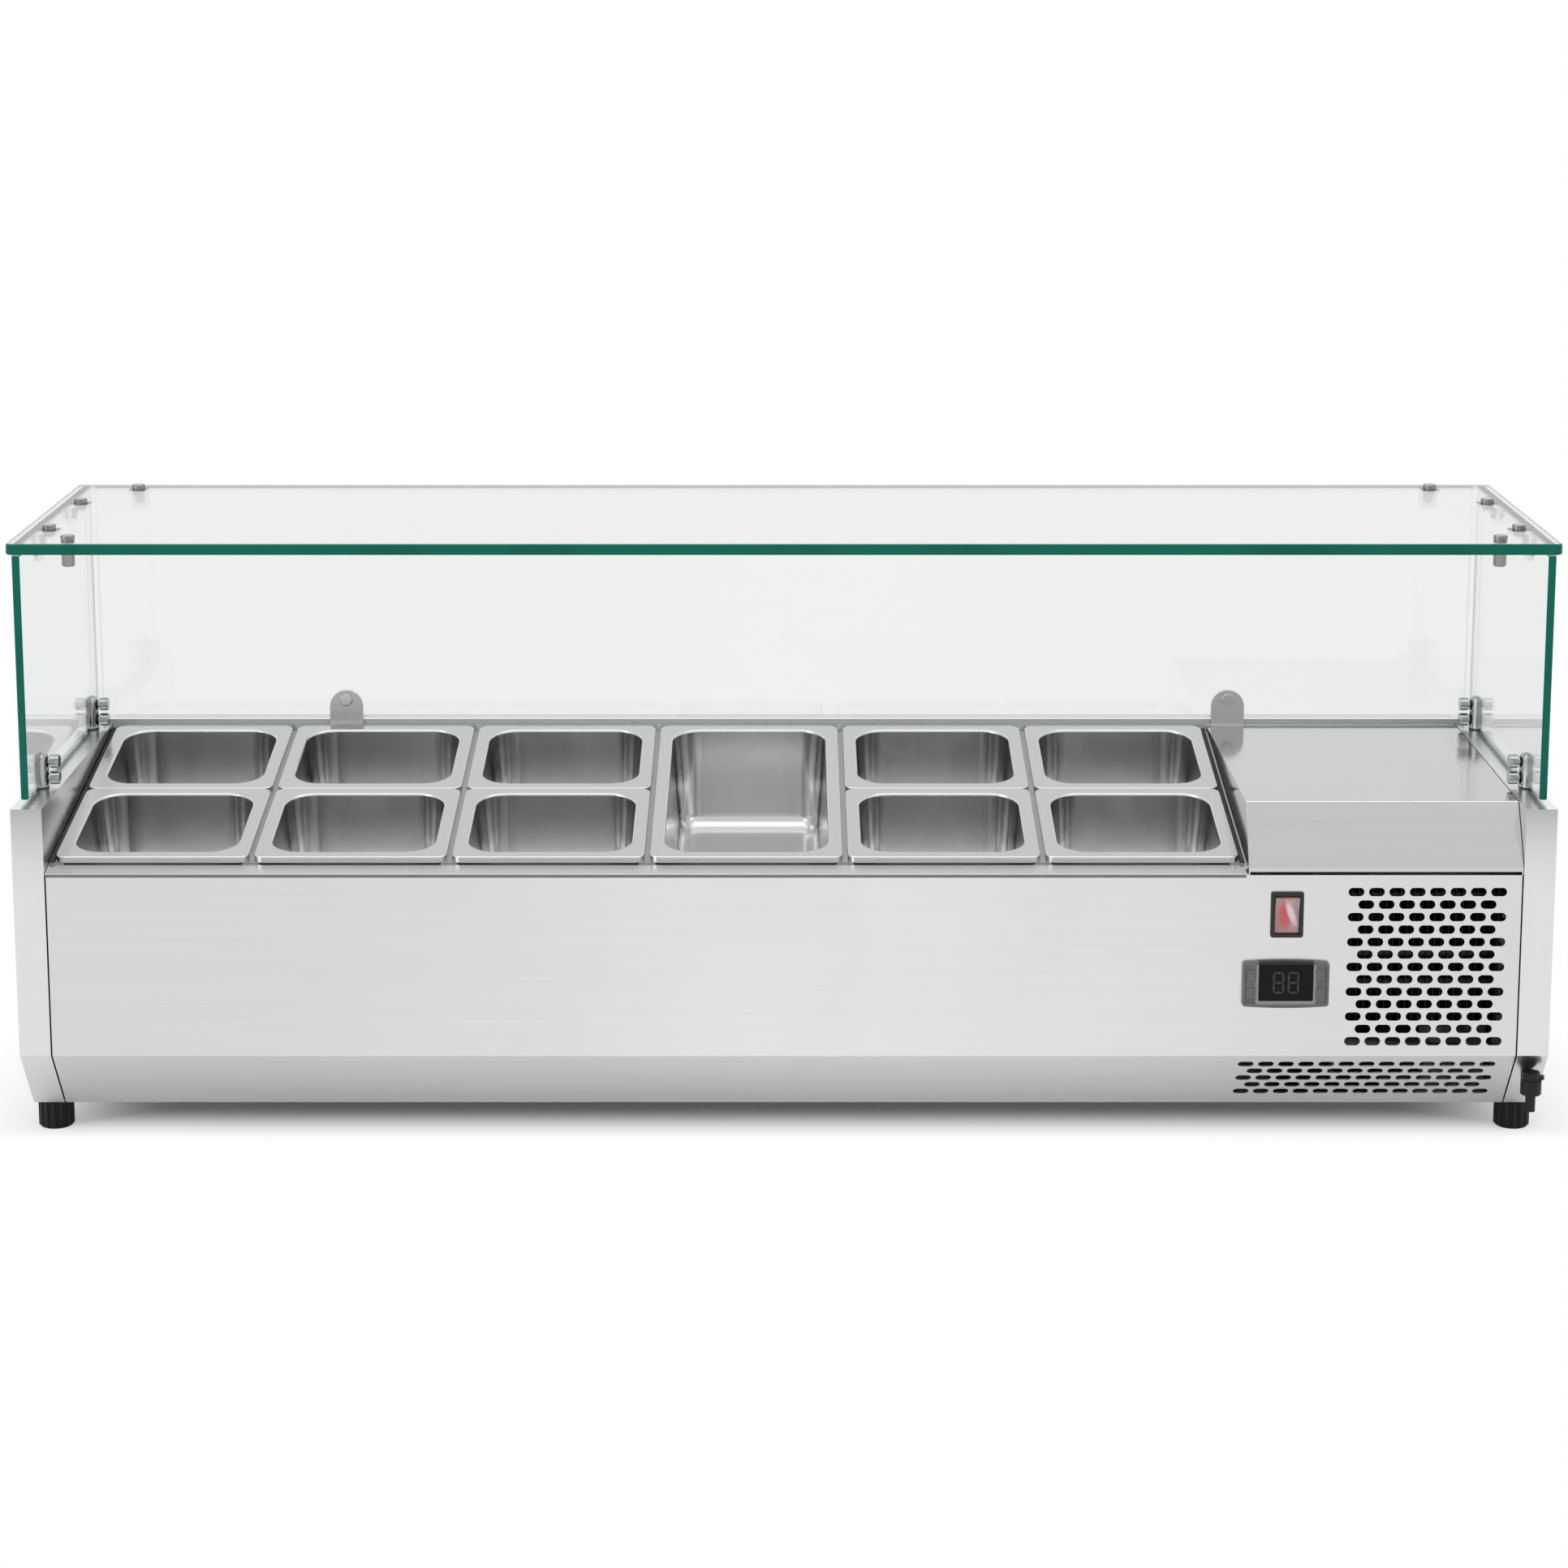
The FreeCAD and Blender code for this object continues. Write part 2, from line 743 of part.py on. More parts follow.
def vent_grid(body, drawing_at, columns, rows, x, y):
    """Staggered rows of slots, from their right-hand top one."""
    for start, row_count, column_count in (
        (0, (rows + 1) // 2, columns),
        (1, rows // 2, columns - 1),
    ):
        drawing = drawing_at()
        obround(
            drawing,
            f"({x} - {start} * slot_pitch / 2)",
            f"({y} - {start} * row_pitch)",
            "slot_length",
            "slot_height",
        )
        slot = pocket(body, drawing, "3 * steel")
        pattern(body, slot, drawing, column_count, "slot_pitch", row_count, "2 * row_pitch")


def front_panel():
    """The folded front with its sloping nose, vents and the two openings for the controls."""
    body = new_body("front_panel")
    inner = side_profile("steel")
    top = "(front_height - steel)"
    nose_back = f"({FRONT} + nose_depth)"
    corners = [
        (f"{FRONT} + fold", top),
        (FRONT, top),
        (FRONT, "leg_gap + nose_height"),
        (nose_back, "leg_gap"),
        (f"{nose_back} + fold", "leg_gap"),
        (f"{nose_back} + fold", "leg_gap + steel"),
        inner[4],
        inner[0],
        (f"{FRONT} + steel", f"{top} - steel"),
        (f"{FRONT} + fold", f"{top} - steel"),
    ]
    half = f"({INNER} - panel_seam)"
    pad(body, polygon(sketch_on(body, "YZ_Plane", f"-{half}"), corners), f"2 * {half}")
    face = body.Shape.BoundBox.YMin
    soften(body, "fold_radius", lambda box: near(box.YMax, face) and not upright(box))
    openings = sketch_on(body, "XZ_Plane", f"-{FRONT}")
    for width, height, middle in (
        ("(switch_width - 2 * seam - steel)", "(switch_height - 2 * seam - steel)", SWITCH_Z),
        ("controller_body_width + 2 * room", "controller_body_height + 2 * room", CONTROLLER_Z),
    ):
        rectangle(
            openings,
            f"{CONTROL_X} - ({width}) / 2",
            f"{CONTROL_X} + ({width}) / 2",
            f"{middle} - ({height}) / 2",
            f"{middle} + ({height}) / 2",
        )
    pocket(body, openings, "3 * steel")

    def on_face():
        return sketch_on(body, "XZ_Plane", f"-{FRONT}")

    def on_nose():
        drawing = sketch_on(body, "XZ_Plane", f"-{FRONT}")
        offset = drawing.AttachmentOffset
        drawing.AttachmentOffset = FreeCAD.Placement(offset.Base, FreeCAD.Rotation(X_AXIS, 1))
        bind(
            drawing,
            {
                "AttachmentOffset.Base.y": "leg_gap + nose_height",
                "AttachmentOffset.Rotation.Angle": "atan(nose_depth / nose_height)",
            },
        )
        return drawing

    vent_grid(body, on_face, VENT_COLUMNS, VENT_ROWS, VENT_X, "(front_height - vent_top)")
    nose_x = f"({INNER} - nose_vent_edge)"
    vent_grid(body, on_nose, NOSE_VENT_COLUMNS, NOSE_VENT_ROWS, nose_x, "(-nose_vent_top)")
    return node(body)


def rear_panel():
    """The folded back with the level rail on top and a lip down to the deck."""
    body = new_body("rear_panel")
    low = f"({deck_height(f'{REAR_LINE} - {FRONT}')} - rear_step)"
    corners = [
        (f"{BACK} - fold", "leg_gap"),
        (BACK, "leg_gap"),
        (BACK, RAIL),
        (REAR_LINE, RAIL),
        (REAR_LINE, low),
        (f"{REAR_LINE} + steel", low),
        (f"{REAR_LINE} + steel", f"{RAIL} - steel"),
        (f"{BACK} - steel", f"{RAIL} - steel"),
        (f"{BACK} - steel", "leg_gap + steel"),
        (f"{BACK} - fold", "leg_gap + steel"),
    ]
    half = f"({INNER} - seam)"
    pad(body, polygon(sketch_on(body, "YZ_Plane", f"-{half}"), corners), f"2 * {half}")
    return node(body)


def base_plate():
    body = new_body("base_plate")
    drawing = sketch_on(body, "XY_Plane", "leg_gap + steel")
    half = f"({INNER} - seam)"
    rectangle(drawing, f"-{half}", half, f"{FRONT} + nose_depth + steel", f"{BACK} - steel - seam")
    circle(drawing, GLAND_X, GLAND_Y, "gland_neck + fit")
    pad(body, drawing, "steel")
    return node(body)


def well_frame():
    """The sloping ledge round the pans, with its mouth cut to the liner."""
    body = new_body("well_frame")
    drawing = sketch_on(body, "XY_Plane", "-steel")
    back = f"{DECK} + rear_gap - steel * tan(deck_tilt)"
    rectangle(drawing, f"-{INNER} + seam", f"{BAY} - steel", "0", back)
    pad(body, drawing, "steel")
    mouth = sketch_on(body, "XY_Plane")
    rounded(mouth, MOUTH_LEFT, MOUTH_RIGHT, MOUTH_FRONT, MOUTH_BACK, "well_corner")
    pocket(body, mouth, "2 * steel")
    on_deck(body)
    return node(body)


def well_liner():
    """The pressed tub under the ledge, with rounded corners and a drain in its low front corner."""
    body = new_body("well_liner")

    def tub(grow):
        return [
            f"{MOUTH_LEFT} - {grow}",
            f"{MOUTH_RIGHT} + {grow}",
            f"{MOUTH_FRONT} - {grow}",
            f"{MOUTH_BACK} + {grow}",
        ]

    block_outline = sketch_on(body, "XY_Plane", "-steel")
    pad(body, rounded(block_outline, *tub("steel"), "well_corner + steel"), "well_depth", reverse=True)
    inner_outline = sketch_on(body, "XY_Plane", "-steel")
    pocket(body, rounded(inner_outline, *tub("0"), "well_corner"), "well_depth - steel")
    floor = body.Shape.BoundBox.ZMin
    inside = floor + size("steel")
    soften(body, "well_floor_radius", lambda box: near(box.ZMin, inside) and near(box.ZMax, inside))
    soften(body, "well_floor_radius + steel", lambda box: near(box.ZMax, floor))
    drain = sketch_on(body, "XY_Plane", "-well_depth")
    circle(drain, DRAIN_X, DRAIN_ALONG, "drain_bore")
    pocket(body, drain, "2 * steel")
    on_deck(body)
    return node(body)


def divider_bars():
    """Channels between the pan columns, whose ends rest on the ledge, and a flat rest at each end."""
    bar = new_body("divider_bar")
    side = "bar_width / 2"
    inside = "(bar_width / 2 - steel)"
    low = "(steel - bar_height)"
    channel = [
        (f"-{side}", low),
        (f"-{inside}", low),
        (f"-{inside}", "0"),
        (inside, "0"),
        (inside, low),
        (side, low),
        (side, "steel"),
        (f"-{side}", "steel"),
    ]
    start = f"({MOUTH_FRONT} + bar_play)"
    stop = f"({MOUTH_BACK} - bar_play)"
    pad(bar, polygon(sketch_on(bar, "XZ_Plane", f"-{start}"), channel), f"{stop} - {start}", reverse=True)
    web = rectangle(sketch_on(bar, "XY_Plane"), f"-{side}", side, "front_margin", DECK)
    pad(bar, web, "steel")
    members = [bar]
    for number in range(2, COLUMNS):
        members.append(copy(f"divider_bar_{number}", bar))
    for number, member in enumerate(members, 1):
        on_deck(member, f"-{INNER} + side_gap + {number} * {STEP} - pan_gap / 2")
    for label, left, right in (
        ("pan_rest_left", f"(-{INNER} + seam)", MOUTH_LEFT),
        ("pan_rest_right", MOUTH_RIGHT, f"({BAY} - seam)"),
    ):
        rest = new_body(label)
        pad(rest, rectangle(sketch_on(rest, "XY_Plane"), left, right, "front_margin", DECK), "steel")
        on_deck(rest)
        members.append(rest)
    group("divider_bars", members)


def pan(label, length):
    """A pressed pan: a rim with a turned-down lip round a tapered bowl, its top at height 0."""
    body = new_body(label)

    def inset(amount):
        return [
            f"-pan_width / 2 + {amount}",
            f"pan_width / 2 - {amount}",
            amount,
            f"{length} - {amount}",
        ]

    rim = rounded(sketch_on(body, "XY_Plane"), *inset("0"), "rim_corner")
    pad(body, rim, "rim_drop", reverse=True)
    under = rounded(sketch_on(body, "XY_Plane", "-rim_drop"), *inset("pan_sheet"), "rim_corner - pan_sheet")
    pocket(body, under, "rim_drop - pan_sheet", reverse=True)
    bowl = rounded(sketch_on(body, "XY_Plane"), *inset("pan_rim"), "pan_corner")
    pad(body, bowl, "pan_depth", reverse=True, taper="-pan_draft")
    under_rim = -size("pan_sheet")
    bowl_half = size("pan_width") / 2 - size("pan_rim") + 1

    def in_bowl(box):
        return max(abs(box.XMin), abs(box.XMax)) < bowl_half

    soften(
        body,
        "mouth_radius + pan_sheet",
        lambda box: near(box.ZMin, under_rim) and near(box.ZMax, under_rim) and in_bowl(box),
    )
    cavity = rounded(sketch_on(body, "XY_Plane"), *inset("(pan_rim + pan_sheet)"), "pan_corner - pan_sheet")
    pocket(body, cavity, "pan_depth - pan_sheet", taper="-pan_draft")
    floor = body.Shape.BoundBox.ZMin
    inside = floor + size("pan_sheet")
    soften(
        body,
        "pan_floor_radius - pan_sheet",
        lambda box: near(box.ZMin, inside) and near(box.ZMax, inside),
    )
    soften(body, "pan_floor_radius", lambda box: near(box.ZMax, floor))
    soften(body, "mouth_radius", lambda box: near(box.ZMin, 0) and in_bowl(box))
    soften(body, "rim_roll", lambda box: near(box.ZMin, 0))
    return body


def pans():
    """Six columns of pans on the deck; one column holds a single third-size pan."""
    sixth = None
    above = "(steel + rim_drop)"
    for number in range(1, COLUMNS + 1):
        x = f"(-{INNER} + side_gap + pan_width / 2 + {number - 1} * {STEP})"
        if number == WHOLE_PAN_COLUMN:
            node(on_deck(pan("third_pan", "pan_length"), x, "front_margin", above))
            continue
        for row, along in (("front", "front_margin"), ("rear", f"({DECK} - sixth_length)")):
            label = f"sixth_pan_{number}_{row}"
            member = copy(label, sixth) if sixth else pan(label, "sixth_length")
            sixth = sixth or member
            node(on_deck(member, x, along, above))


def machine_cover():
    """The hood over the machine bay: level top, bevelled front over a shadow gap, sides down to the deck."""
    body = new_body("machine_cover")
    top = f"({RAIL} - cover_drop)"
    front = f"({FRONT} + seam)"
    back = f"({REAR_LINE} - seam)"
    low = "(front_height - steel)"
    inner_foot = f"({FRONT} + cover_foot)"
    outside = [
        (front, low),
        (front, "front_height + cover_lip"),
        (f"{FRONT} + cover_fold", top),
        (back, top),
        (back, deck_height(f"{back} - {FRONT}")),
        (inner_foot, deck_height("cover_foot")),
        (inner_foot, low),
    ]
    below = "(front_height - bay_width)"
    inside = [
        (f"{front} + steel", below),
        (f"{front} + steel", "front_height + cover_lip - steel / 2"),
        (f"{FRONT} + cover_fold + steel / 2", f"{top} - steel"),
        (f"{back} - steel", f"{top} - steel"),
        (f"{back} - steel", below),
    ]
    left = f"({BAY} + seam)"
    right = f"({INNER} - seam)"
    pad(body, polygon(sketch_on(body, "YZ_Plane", left), outside), f"{right} - {left}")
    face = body.Shape.BoundBox
    soften(
        body,
        "fold_radius",
        lambda box: near(box.ZMin, face.ZMax) and box.XLength > 1 and box.YMax < face.YMax - 1,
    )
    hollow = polygon(sketch_on(body, "YZ_Plane", f"{right} - steel"), inside)
    pocket(body, hollow, f"{right} - {left} - 2 * steel")
    gap = sketch_on(body, "XZ_Plane", f"-{front}")
    rectangle(gap, f"{left} + steel", f"{right} - steel", low, "front_height + cover_shadow")
    pocket(body, gap, "2 * steel")
    return node(body)


def bay_partition():
    """The wall between the cold well and the machine bay, with the flange that the cover rests on."""
    body = new_body("bay_partition")
    start = "(cover_foot + seam)"
    stop = f"({REAR_LINE} - {FRONT} - seam)"
    under = "(steel / cos(deck_tilt))"
    front = f"({FRONT} + fold + seam)"
    back = f"({BACK} - fold - seam)"
    wall = [
        (front, f"{deck_height('fold + seam')} - {under}"),
        (f"{FRONT} + {stop}", f"{deck_height(stop)} - {under}"),
        (f"{FRONT} + {stop}", f"{deck_height(stop)} - fold"),
        (back, f"{deck_height(stop)} - fold"),
        (back, FLOOR),
        (f"{FRONT} + nose_depth + steel", FLOOR),
        (front, "leg_gap + nose_height"),
    ]
    drawing = polygon(sketch_on(body, "YZ_Plane", f"{BAY} - steel"), wall)
    for along in (COIL_FIRST, COIL_LAST):
        circle(drawing, *deck_point(along, COIL_LEVEL), "coil_radius + pipe_room")
    circle(drawing, DRAIN_Y, f"{DRAIN_Z} - drain_fall / 4", "drain_bore + pipe_room")
    pad(body, drawing, "steel")
    flange = [
        (f"{FRONT} + {start}", deck_height(start)),
        (f"{FRONT} + {stop}", deck_height(stop)),
        (f"{FRONT} + {stop}", f"{deck_height(stop)} - {under}"),
        (f"{FRONT} + {start}", f"{deck_height(start)} - {under}"),
    ]
    pad(body, polygon(sketch_on(body, "YZ_Plane", f"{BAY} - steel"), flange), "steel + flange")
    return node(body)


def insulation():
    """The foam round the cold well, hollowed for the tub, the coil under it and the drain."""
    inset = "(2 * steel + room)"
    left = f"(-{INNER} + room)"
    right = f"({BAY} - steel - room)"
    body = new_body("foam")
    profile = side_profile(inset, "(front_height - 2 * steel)")
    pad(body, polygon(sketch_on(body, "YZ_Plane", left), profile), f"{right} - {left}")
    clear = "(steel + room)"
    low = "(-(well_depth + steel + coil_gap))"
    tub = block(
        "tub_room",
        (f"{MOUTH_LEFT} - {clear}", f"{MOUTH_RIGHT} + {clear}"),
        (f"{MOUTH_FRONT} - {clear}", f"{MOUTH_BACK} + {clear}"),
        (low, "well_depth"),
    )
    coil = block(
        "coil_room",
        (MOUTH_RIGHT, BAY),
        (f"{COIL_FIRST} - coil_gap", f"{COIL_LAST} + coil_gap"),
        (low, f"{low} + 2 * coil_gap"),
    )
    for hollow, x, along in (
        (tub, f"{MOUTH_LEFT} - {clear}", f"{MOUTH_FRONT} - {clear}"),
        (coil, MOUTH_RIGHT, f"{COIL_FIRST} - coil_gap"),
    ):
        on_deck(hollow, x, along, low)
    channel = block(
        "drain_room",
        (f"{DRAIN_X} - 3 * drain_bore", BAY),
        (f"{DRAIN_Y} - 3 * drain_bore", f"{DRAIN_Y} + 3 * drain_bore"),
        (f"{DRAIN_Z} - drain_fall", f"{DRAIN_Z} + drain_drop"),
    )
    hollows = doc.addObject("Part::MultiFuse", "foam_hollows")
    hollows.Shapes = [tub, coil, channel]
    cut = doc.addObject("Part::Cut", "insulation")
    cut.Base = body
    cut.Tool = hollows
    settle(cut, cut)
    return node(cut, "insulation")


def evaporator_tube():
    """The cold coil under the liner, bent to and fro, with both ends in the machine bay."""
    pitch = (value(COIL_LAST) - value(COIL_FIRST)) / (COIL_PASSES - 1)
    left = value(f"{MOUTH_LEFT} + coil_end")
    right = value(f"{MOUTH_RIGHT} - coil_turn")
    stub = value(f"{BAY} + coil_stub")
    points = [Vector(stub, 0, 0)]
    for number in range(COIL_PASSES):
        turn = left if number % 2 == 0 else right
        if number == COIL_PASSES - 1:
            points.append(Vector(stub, number * pitch, 0))
            break
        points.append(Vector(turn, number * pitch, 0))
        points.append(Vector(turn, (number + 1) * pitch, 0))
    coil = tube("evaporator_tube", points, size("coil_radius"), pitch / 2)
    on_deck(coil, "0", COIL_FIRST, COIL_LEVEL)
    return node(coil)


def drain_pipe():
    """From the liner's drain down through the foam, across the bay and forward to the tap."""
    top = deck_point(DRAIN_ALONG, "-well_depth - seam")
    points = [
        spot(DRAIN_X, *top),
        spot(DRAIN_X, DRAIN_Y, DRAIN_Z),
        spot(TAP_X, DRAIN_Y, "tap_height"),
        spot(TAP_X, f"{TAP_Y} + tap_neck_length - fold", "tap_height"),
    ]
    outside = size("drain_bore") - size("fit")
    pipe = tube("drain_pipe", points, outside, size("drain_bend"), outside - size("drain_wall"))
    return node(pipe)


def holes(body, plane, shift, depth, centres, reverse=False):
    """Bolt holes through a pane, at pairs of formulas."""
    drawing = sketch_on(body, plane, shift)
    for x, y in centres:
        circle(drawing, x, y, "bolt_radius + fit")
    pocket(body, drawing, depth, reverse)


def glass_top():
    """The top pane, with round corners, ground edges and eight bolt holes."""
    body = new_body("glass_top")
    half = f"({HALF} - glass_edge)"
    outline = rounded(
        sketch_on(body, "XY_Plane", GUARD_TOP),
        f"-{half}",
        half,
        f"{FRONT} + guard_front - glass_edge",
        f"{GUARD_BACK} + glass_overhang",
        "glass_corner",
    )
    pad(body, outline, "top_glass")
    soften(body, "glass_arris", lambda box: box.ZLength < 1e-3, "Chamfer")
    holes(body, "XY_Plane", f"{GUARD_TOP} + top_glass", "2 * top_glass", TOP_BOLTS)
    return node(body)


def glass_side(label, sign):
    """A side pane that stands in two clamps, with two bolt holes near its top."""
    body = new_body(label)
    outline = sketch_on(body, "YZ_Plane", f"{sign} * {GLASS_X} - side_glass / 2")
    rectangle(outline, f"{FRONT} + guard_front", GUARD_BACK, f"{RAIL} + glass_lift", f"{GUARD_TOP} - seal")
    pad(body, outline, "side_glass")
    soften(body, "glass_arris", lambda box: box.XLength < 1e-3, "Chamfer")
    centres = [(f"{FRONT} + {along}", CLIP_Z) for along in ("clip_front", "clip_back")]
    outside = f"{sign} * {GLASS_X} + side_glass"
    holes(body, "YZ_Plane", outside, "3 * side_glass", centres)
    return node(body)


def glass_rear():
    """The rear pane between the side panes, bolted to two brackets and two clips."""
    body = new_body("glass_rear")
    half = f"({GLASS_FACE} - rear_glass_gap)"
    outline = sketch_on(body, "XZ_Plane", f"-{REAR_GLASS}")
    rectangle(outline, f"-{half}", half, f"{RAIL} + glass_lift", f"{GUARD_TOP} - seal")
    pad(body, outline, "side_glass", reverse=True)
    soften(body, "glass_arris", lambda box: box.YLength < 1e-3, "Chamfer")
    centres = [("-bracket_left", BRACKET_Z), ("bracket_right", BRACKET_Z)]
    centres += [("-rear_clip", CLIP_Z), ("rear_clip", CLIP_Z)]
    holes(body, "XZ_Plane", f"-{REAR_GLASS}", "2 * side_glass", centres)
    return node(body)


def glass_clamps():
    """Slotted pillars that hold the side panes, each with two knobbed pinch screws."""
    pillar = turned(
        "glass_clamp",
        [("0", "0"), ("pillar_radius", "0"), ("pillar_radius", "pillar_height"), ("0", "pillar_height")],
    )
    top = pillar.Shape.BoundBox.ZMax
    soften(pillar, "pillar_dome", lambda box: near(box.ZMin, top))
    slot = sketch_on(pillar, "XZ_Plane", "-pillar_radius")
    half = "(side_glass / 2 + slot_play)"
    rectangle(slot, f"-{half}", half, "glass_lift - gasket", "2 * pillar_height")
    pocket(pillar, slot, "2 * pillar_radius", reverse=True)
    pinch = sketch_on(pillar, "YZ_Plane", "pillar_radius")
    for height in PINCH_HEIGHTS:
        circle(pinch, "0", height, "pinch_radius + fit")
    pocket(pillar, pinch, "pillar_radius")
    reach = "(pillar_radius - side_glass / 2 + room)"
    knob = f"({reach} + pinch_collar_length)"
    screw = turned(
        "clamp_screw",
        [
            ("0", "0"),
            ("pinch_radius", "0"),
            ("pinch_radius", reach),
            ("pinch_collar", reach),
            ("pinch_collar", knob),
            ("pinch_knob", knob),
            ("pinch_knob", f"{knob} + pinch_knob_length"),
            ("0", f"{knob} + pinch_knob_length"),
        ],
    )
    head = screw.Shape.BoundBox.ZMax
    soften(screw, "glass_arris", lambda box: near(box.ZMin, head))
    pillars = []
    screws = []
    for side, sign, turn in (("left", "-1", 0), ("right", "1", 180)):
        for where, along in (("front", "pillar_front"), ("back", "pillar_back")):
            y = f"({FRONT} + {along})"
            upright_one = copy(f"clamp_{side}_{where}", pillar)
            pillars.append(place(upright_one, f"{sign} * {GLASS_X}", y, f"{RAIL} + gasket", Z_AXIS, turn))
            for height in PINCH_HEIGHTS:
                pinch_one = copy(f"screw_{side}_{where}_{height}", screw)
                level = f"{RAIL} + gasket + {height}"
                quarter = 90 - turn
                screws.append(place(pinch_one, f"{sign} * {GLASS_FACE}", y, level, Y_AXIS, quarter))
    group("glass_clamps", pillars)
    group("clamp_screws", screws)


def rear_glass_brackets():
    """Half-round plates in front of the rear pane, whose feet run under it on the rail."""
    body = new_body("rear_glass_bracket")
    plate = sketch_on(body, "XZ_Plane")
    rectangle(plate, "-bracket_radius", "bracket_radius", "0", "bracket_height - bracket_radius")
    pad(body, plate, "bracket_sheet")
    crown = circle(sketch_on(body, "XZ_Plane"), "0", "bracket_height - bracket_radius", "bracket_radius")
    pad(body, crown, "bracket_sheet")
    foot = sketch_on(body, "XY_Plane")
    rectangle(foot, "-bracket_radius", "bracket_radius", "-bracket_sheet", "bracket_foot - bracket_sheet")
    pad(body, foot, "bracket_sheet")
    holes(body, "XZ_Plane", "0", "2 * bracket_sheet", [("0", "bracket_bolt_height")], reverse=True)
    second = copy("rear_glass_bracket_right", body)
    for member, x in ((body, "-bracket_left"), (second, "bracket_right")):
        place(member, x, REAR_GLASS, RAIL)
    group("rear_glass_brackets", [body, second])


def glass_clips():
    """Angles that bolt the top pane to the side and rear panes."""
    body = new_body("glass_clip")
    angle = [
        ("0", "0"),
        ("0", "-clip_leg"),
        ("clip_sheet", "-clip_leg"),
        ("clip_sheet", "-clip_sheet"),
        ("clip_leg", "-clip_sheet"),
        ("clip_leg", "0"),
    ]
    pad(body, polygon(sketch_on(body, "XZ_Plane", "-clip_width / 2"), angle), "clip_width")
    ends = body.Shape.BoundBox
    soften(
        body,
        "clip_sheet",
        lambda box: near(box.XMin, ends.XMax) and upright(box),
    )
    holes(body, "XY_Plane", "clip_sheet", "3 * clip_sheet", [("clip_bolt", "0")])
    holes(body, "YZ_Plane", "2 * clip_sheet", "3 * clip_sheet", [("0", "-clip_bolt")])
    members = []
    for label, x, y, turn in CLIPS:
        member = copy(f"glass_clip_{label}", body)
        members.append(place(member, x, y, GUARD_TOP, Z_AXIS, turn))
    group("glass_clips", members)


def bolt(label, grip, foot_radius="nut_radius", foot_height="nut_height"):
    """A bolt whose cap stands on height 0, with its nut below the grip."""
    body = turned(
        label,
        [
            ("0", "bolt_cap_height"),
            ("bolt_cap", "bolt_cap_height"),
            ("bolt_cap", "0"),
            ("bolt_radius", "0"),
            ("bolt_radius", f"-({grip})"),
            (foot_radius, f"-({grip})"),
            (foot_radius, f"-({grip}) - {foot_height}"),
            ("0", f"-({grip}) - {foot_height}"),
        ],
    )
    ends = body.Shape.BoundBox
    soften(body, "bolt_cap_height / 3", lambda box: near(box.ZMin, ends.ZMax))
    soften(body, "glass_arris", lambda box: near(box.ZMax, ends.ZMin), "Chamfer")
    return body


def glass_bolts():
    """Every bolt of the guard, and the two studs at the top pane's front corners."""
    top = bolt("top_bolt", "top_glass + clip_sheet")
    side = bolt("side_bolt", "side_glass + clip_sheet")
    bracket = bolt("bracket_bolt", "side_glass + bracket_sheet")
    stud = bolt("front_stud", "top_glass", "stud_barrel", "stud_length")
    above = f"{GUARD_TOP} + top_glass"
    outside = f"({GLASS_X} + side_glass / 2)"
    members = []
    for number, (x, y) in enumerate(TOP_BOLTS):
        kind = stud if number < FRONT_STUDS else top
        members.append(place(copy(f"top_bolt_{number}", kind), x, y, above))
    for sign, turn in (("-1", -90), ("1", 90)):
        for along in ("clip_front", "clip_back"):
            link = copy(f"side_bolt_{along}", side)
            members.append(place(link, f"{sign} * {outside}", f"{FRONT} + {along}", CLIP_Z, Y_AXIS, turn))
    for x in ("-rear_clip", "rear_clip"):
        members.append(place(copy("rear_bolt", side), x, GUARD_BACK, CLIP_Z, X_AXIS, -90))
    for x in ("-bracket_left", "bracket_right"):
        link = copy("rear_bracket_bolt", bracket)
        members.append(place(link, x, f"{REAR_GLASS} - bracket_sheet", BRACKET_Z, X_AXIS, 90))
    group("glass_bolts", members)


def glass_seals():
    """Strips under the top pane and under the rear pane, and a gasket under each clamp pillar."""
    level = (f"{GUARD_TOP} - seal", GUARD_TOP)
    half = f"({GLASS_FACE} - rear_glass_gap)"
    edge = "side_glass / 2"
    thick = (REAR_GLASS, GUARD_BACK)
    members = [block("rear_strip", (f"-{half}", half), thick, level)]
    clear = "(bracket_radius + room)"
    spans = [
        (f"-{half}", f"-bracket_left - {clear}"),
        (f"-bracket_left + {clear}", f"bracket_right - {clear}"),
        (f"bracket_right + {clear}", half),
    ]
    for number, span in enumerate(spans):
        members.append(block(f"setting_strip_{number}", span, thick, (RAIL, f"{RAIL} + glass_lift")))
    for side, sign in (("left", "-1"), ("right", "1")):
        middle = f"{sign} * {GLASS_X}"
        span = (f"{FRONT} + guard_front", GUARD_BACK)
        members.append(block(f"{side}_strip", (f"{middle} - {edge}", f"{middle} + {edge}"), span, level))
        for along in ("pillar_front", "pillar_back"):
            ring = doc.addObject("Part::Cylinder", f"{side}_gasket")
            bind(ring, {"Radius": "pillar_radius", "Height": "gasket"})
            members.append(place(ring, middle, f"{FRONT} + {along}", RAIL))
    group("glass_seals", members)


def centred(drawing, x, y, width, height, corner=None):
    """A rectangle about a middle, with round corners if a radius is given."""
    half_x = f"({width}) / 2"
    half_y = f"({height}) / 2"
    sides = [f"{x} - {half_x}", f"{x} + {half_x}", f"{y} - {half_y}", f"{y} + {half_y}"]
    if corner:
        return rounded(drawing, *sides, corner)
    return rectangle(drawing, *sides)


def face_sketch(body, proud):
    """A sketch facing the operator, so far in front of the front panel."""
    return sketch_on(body, "XZ_Plane", f"-{FRONT} + {proud}")


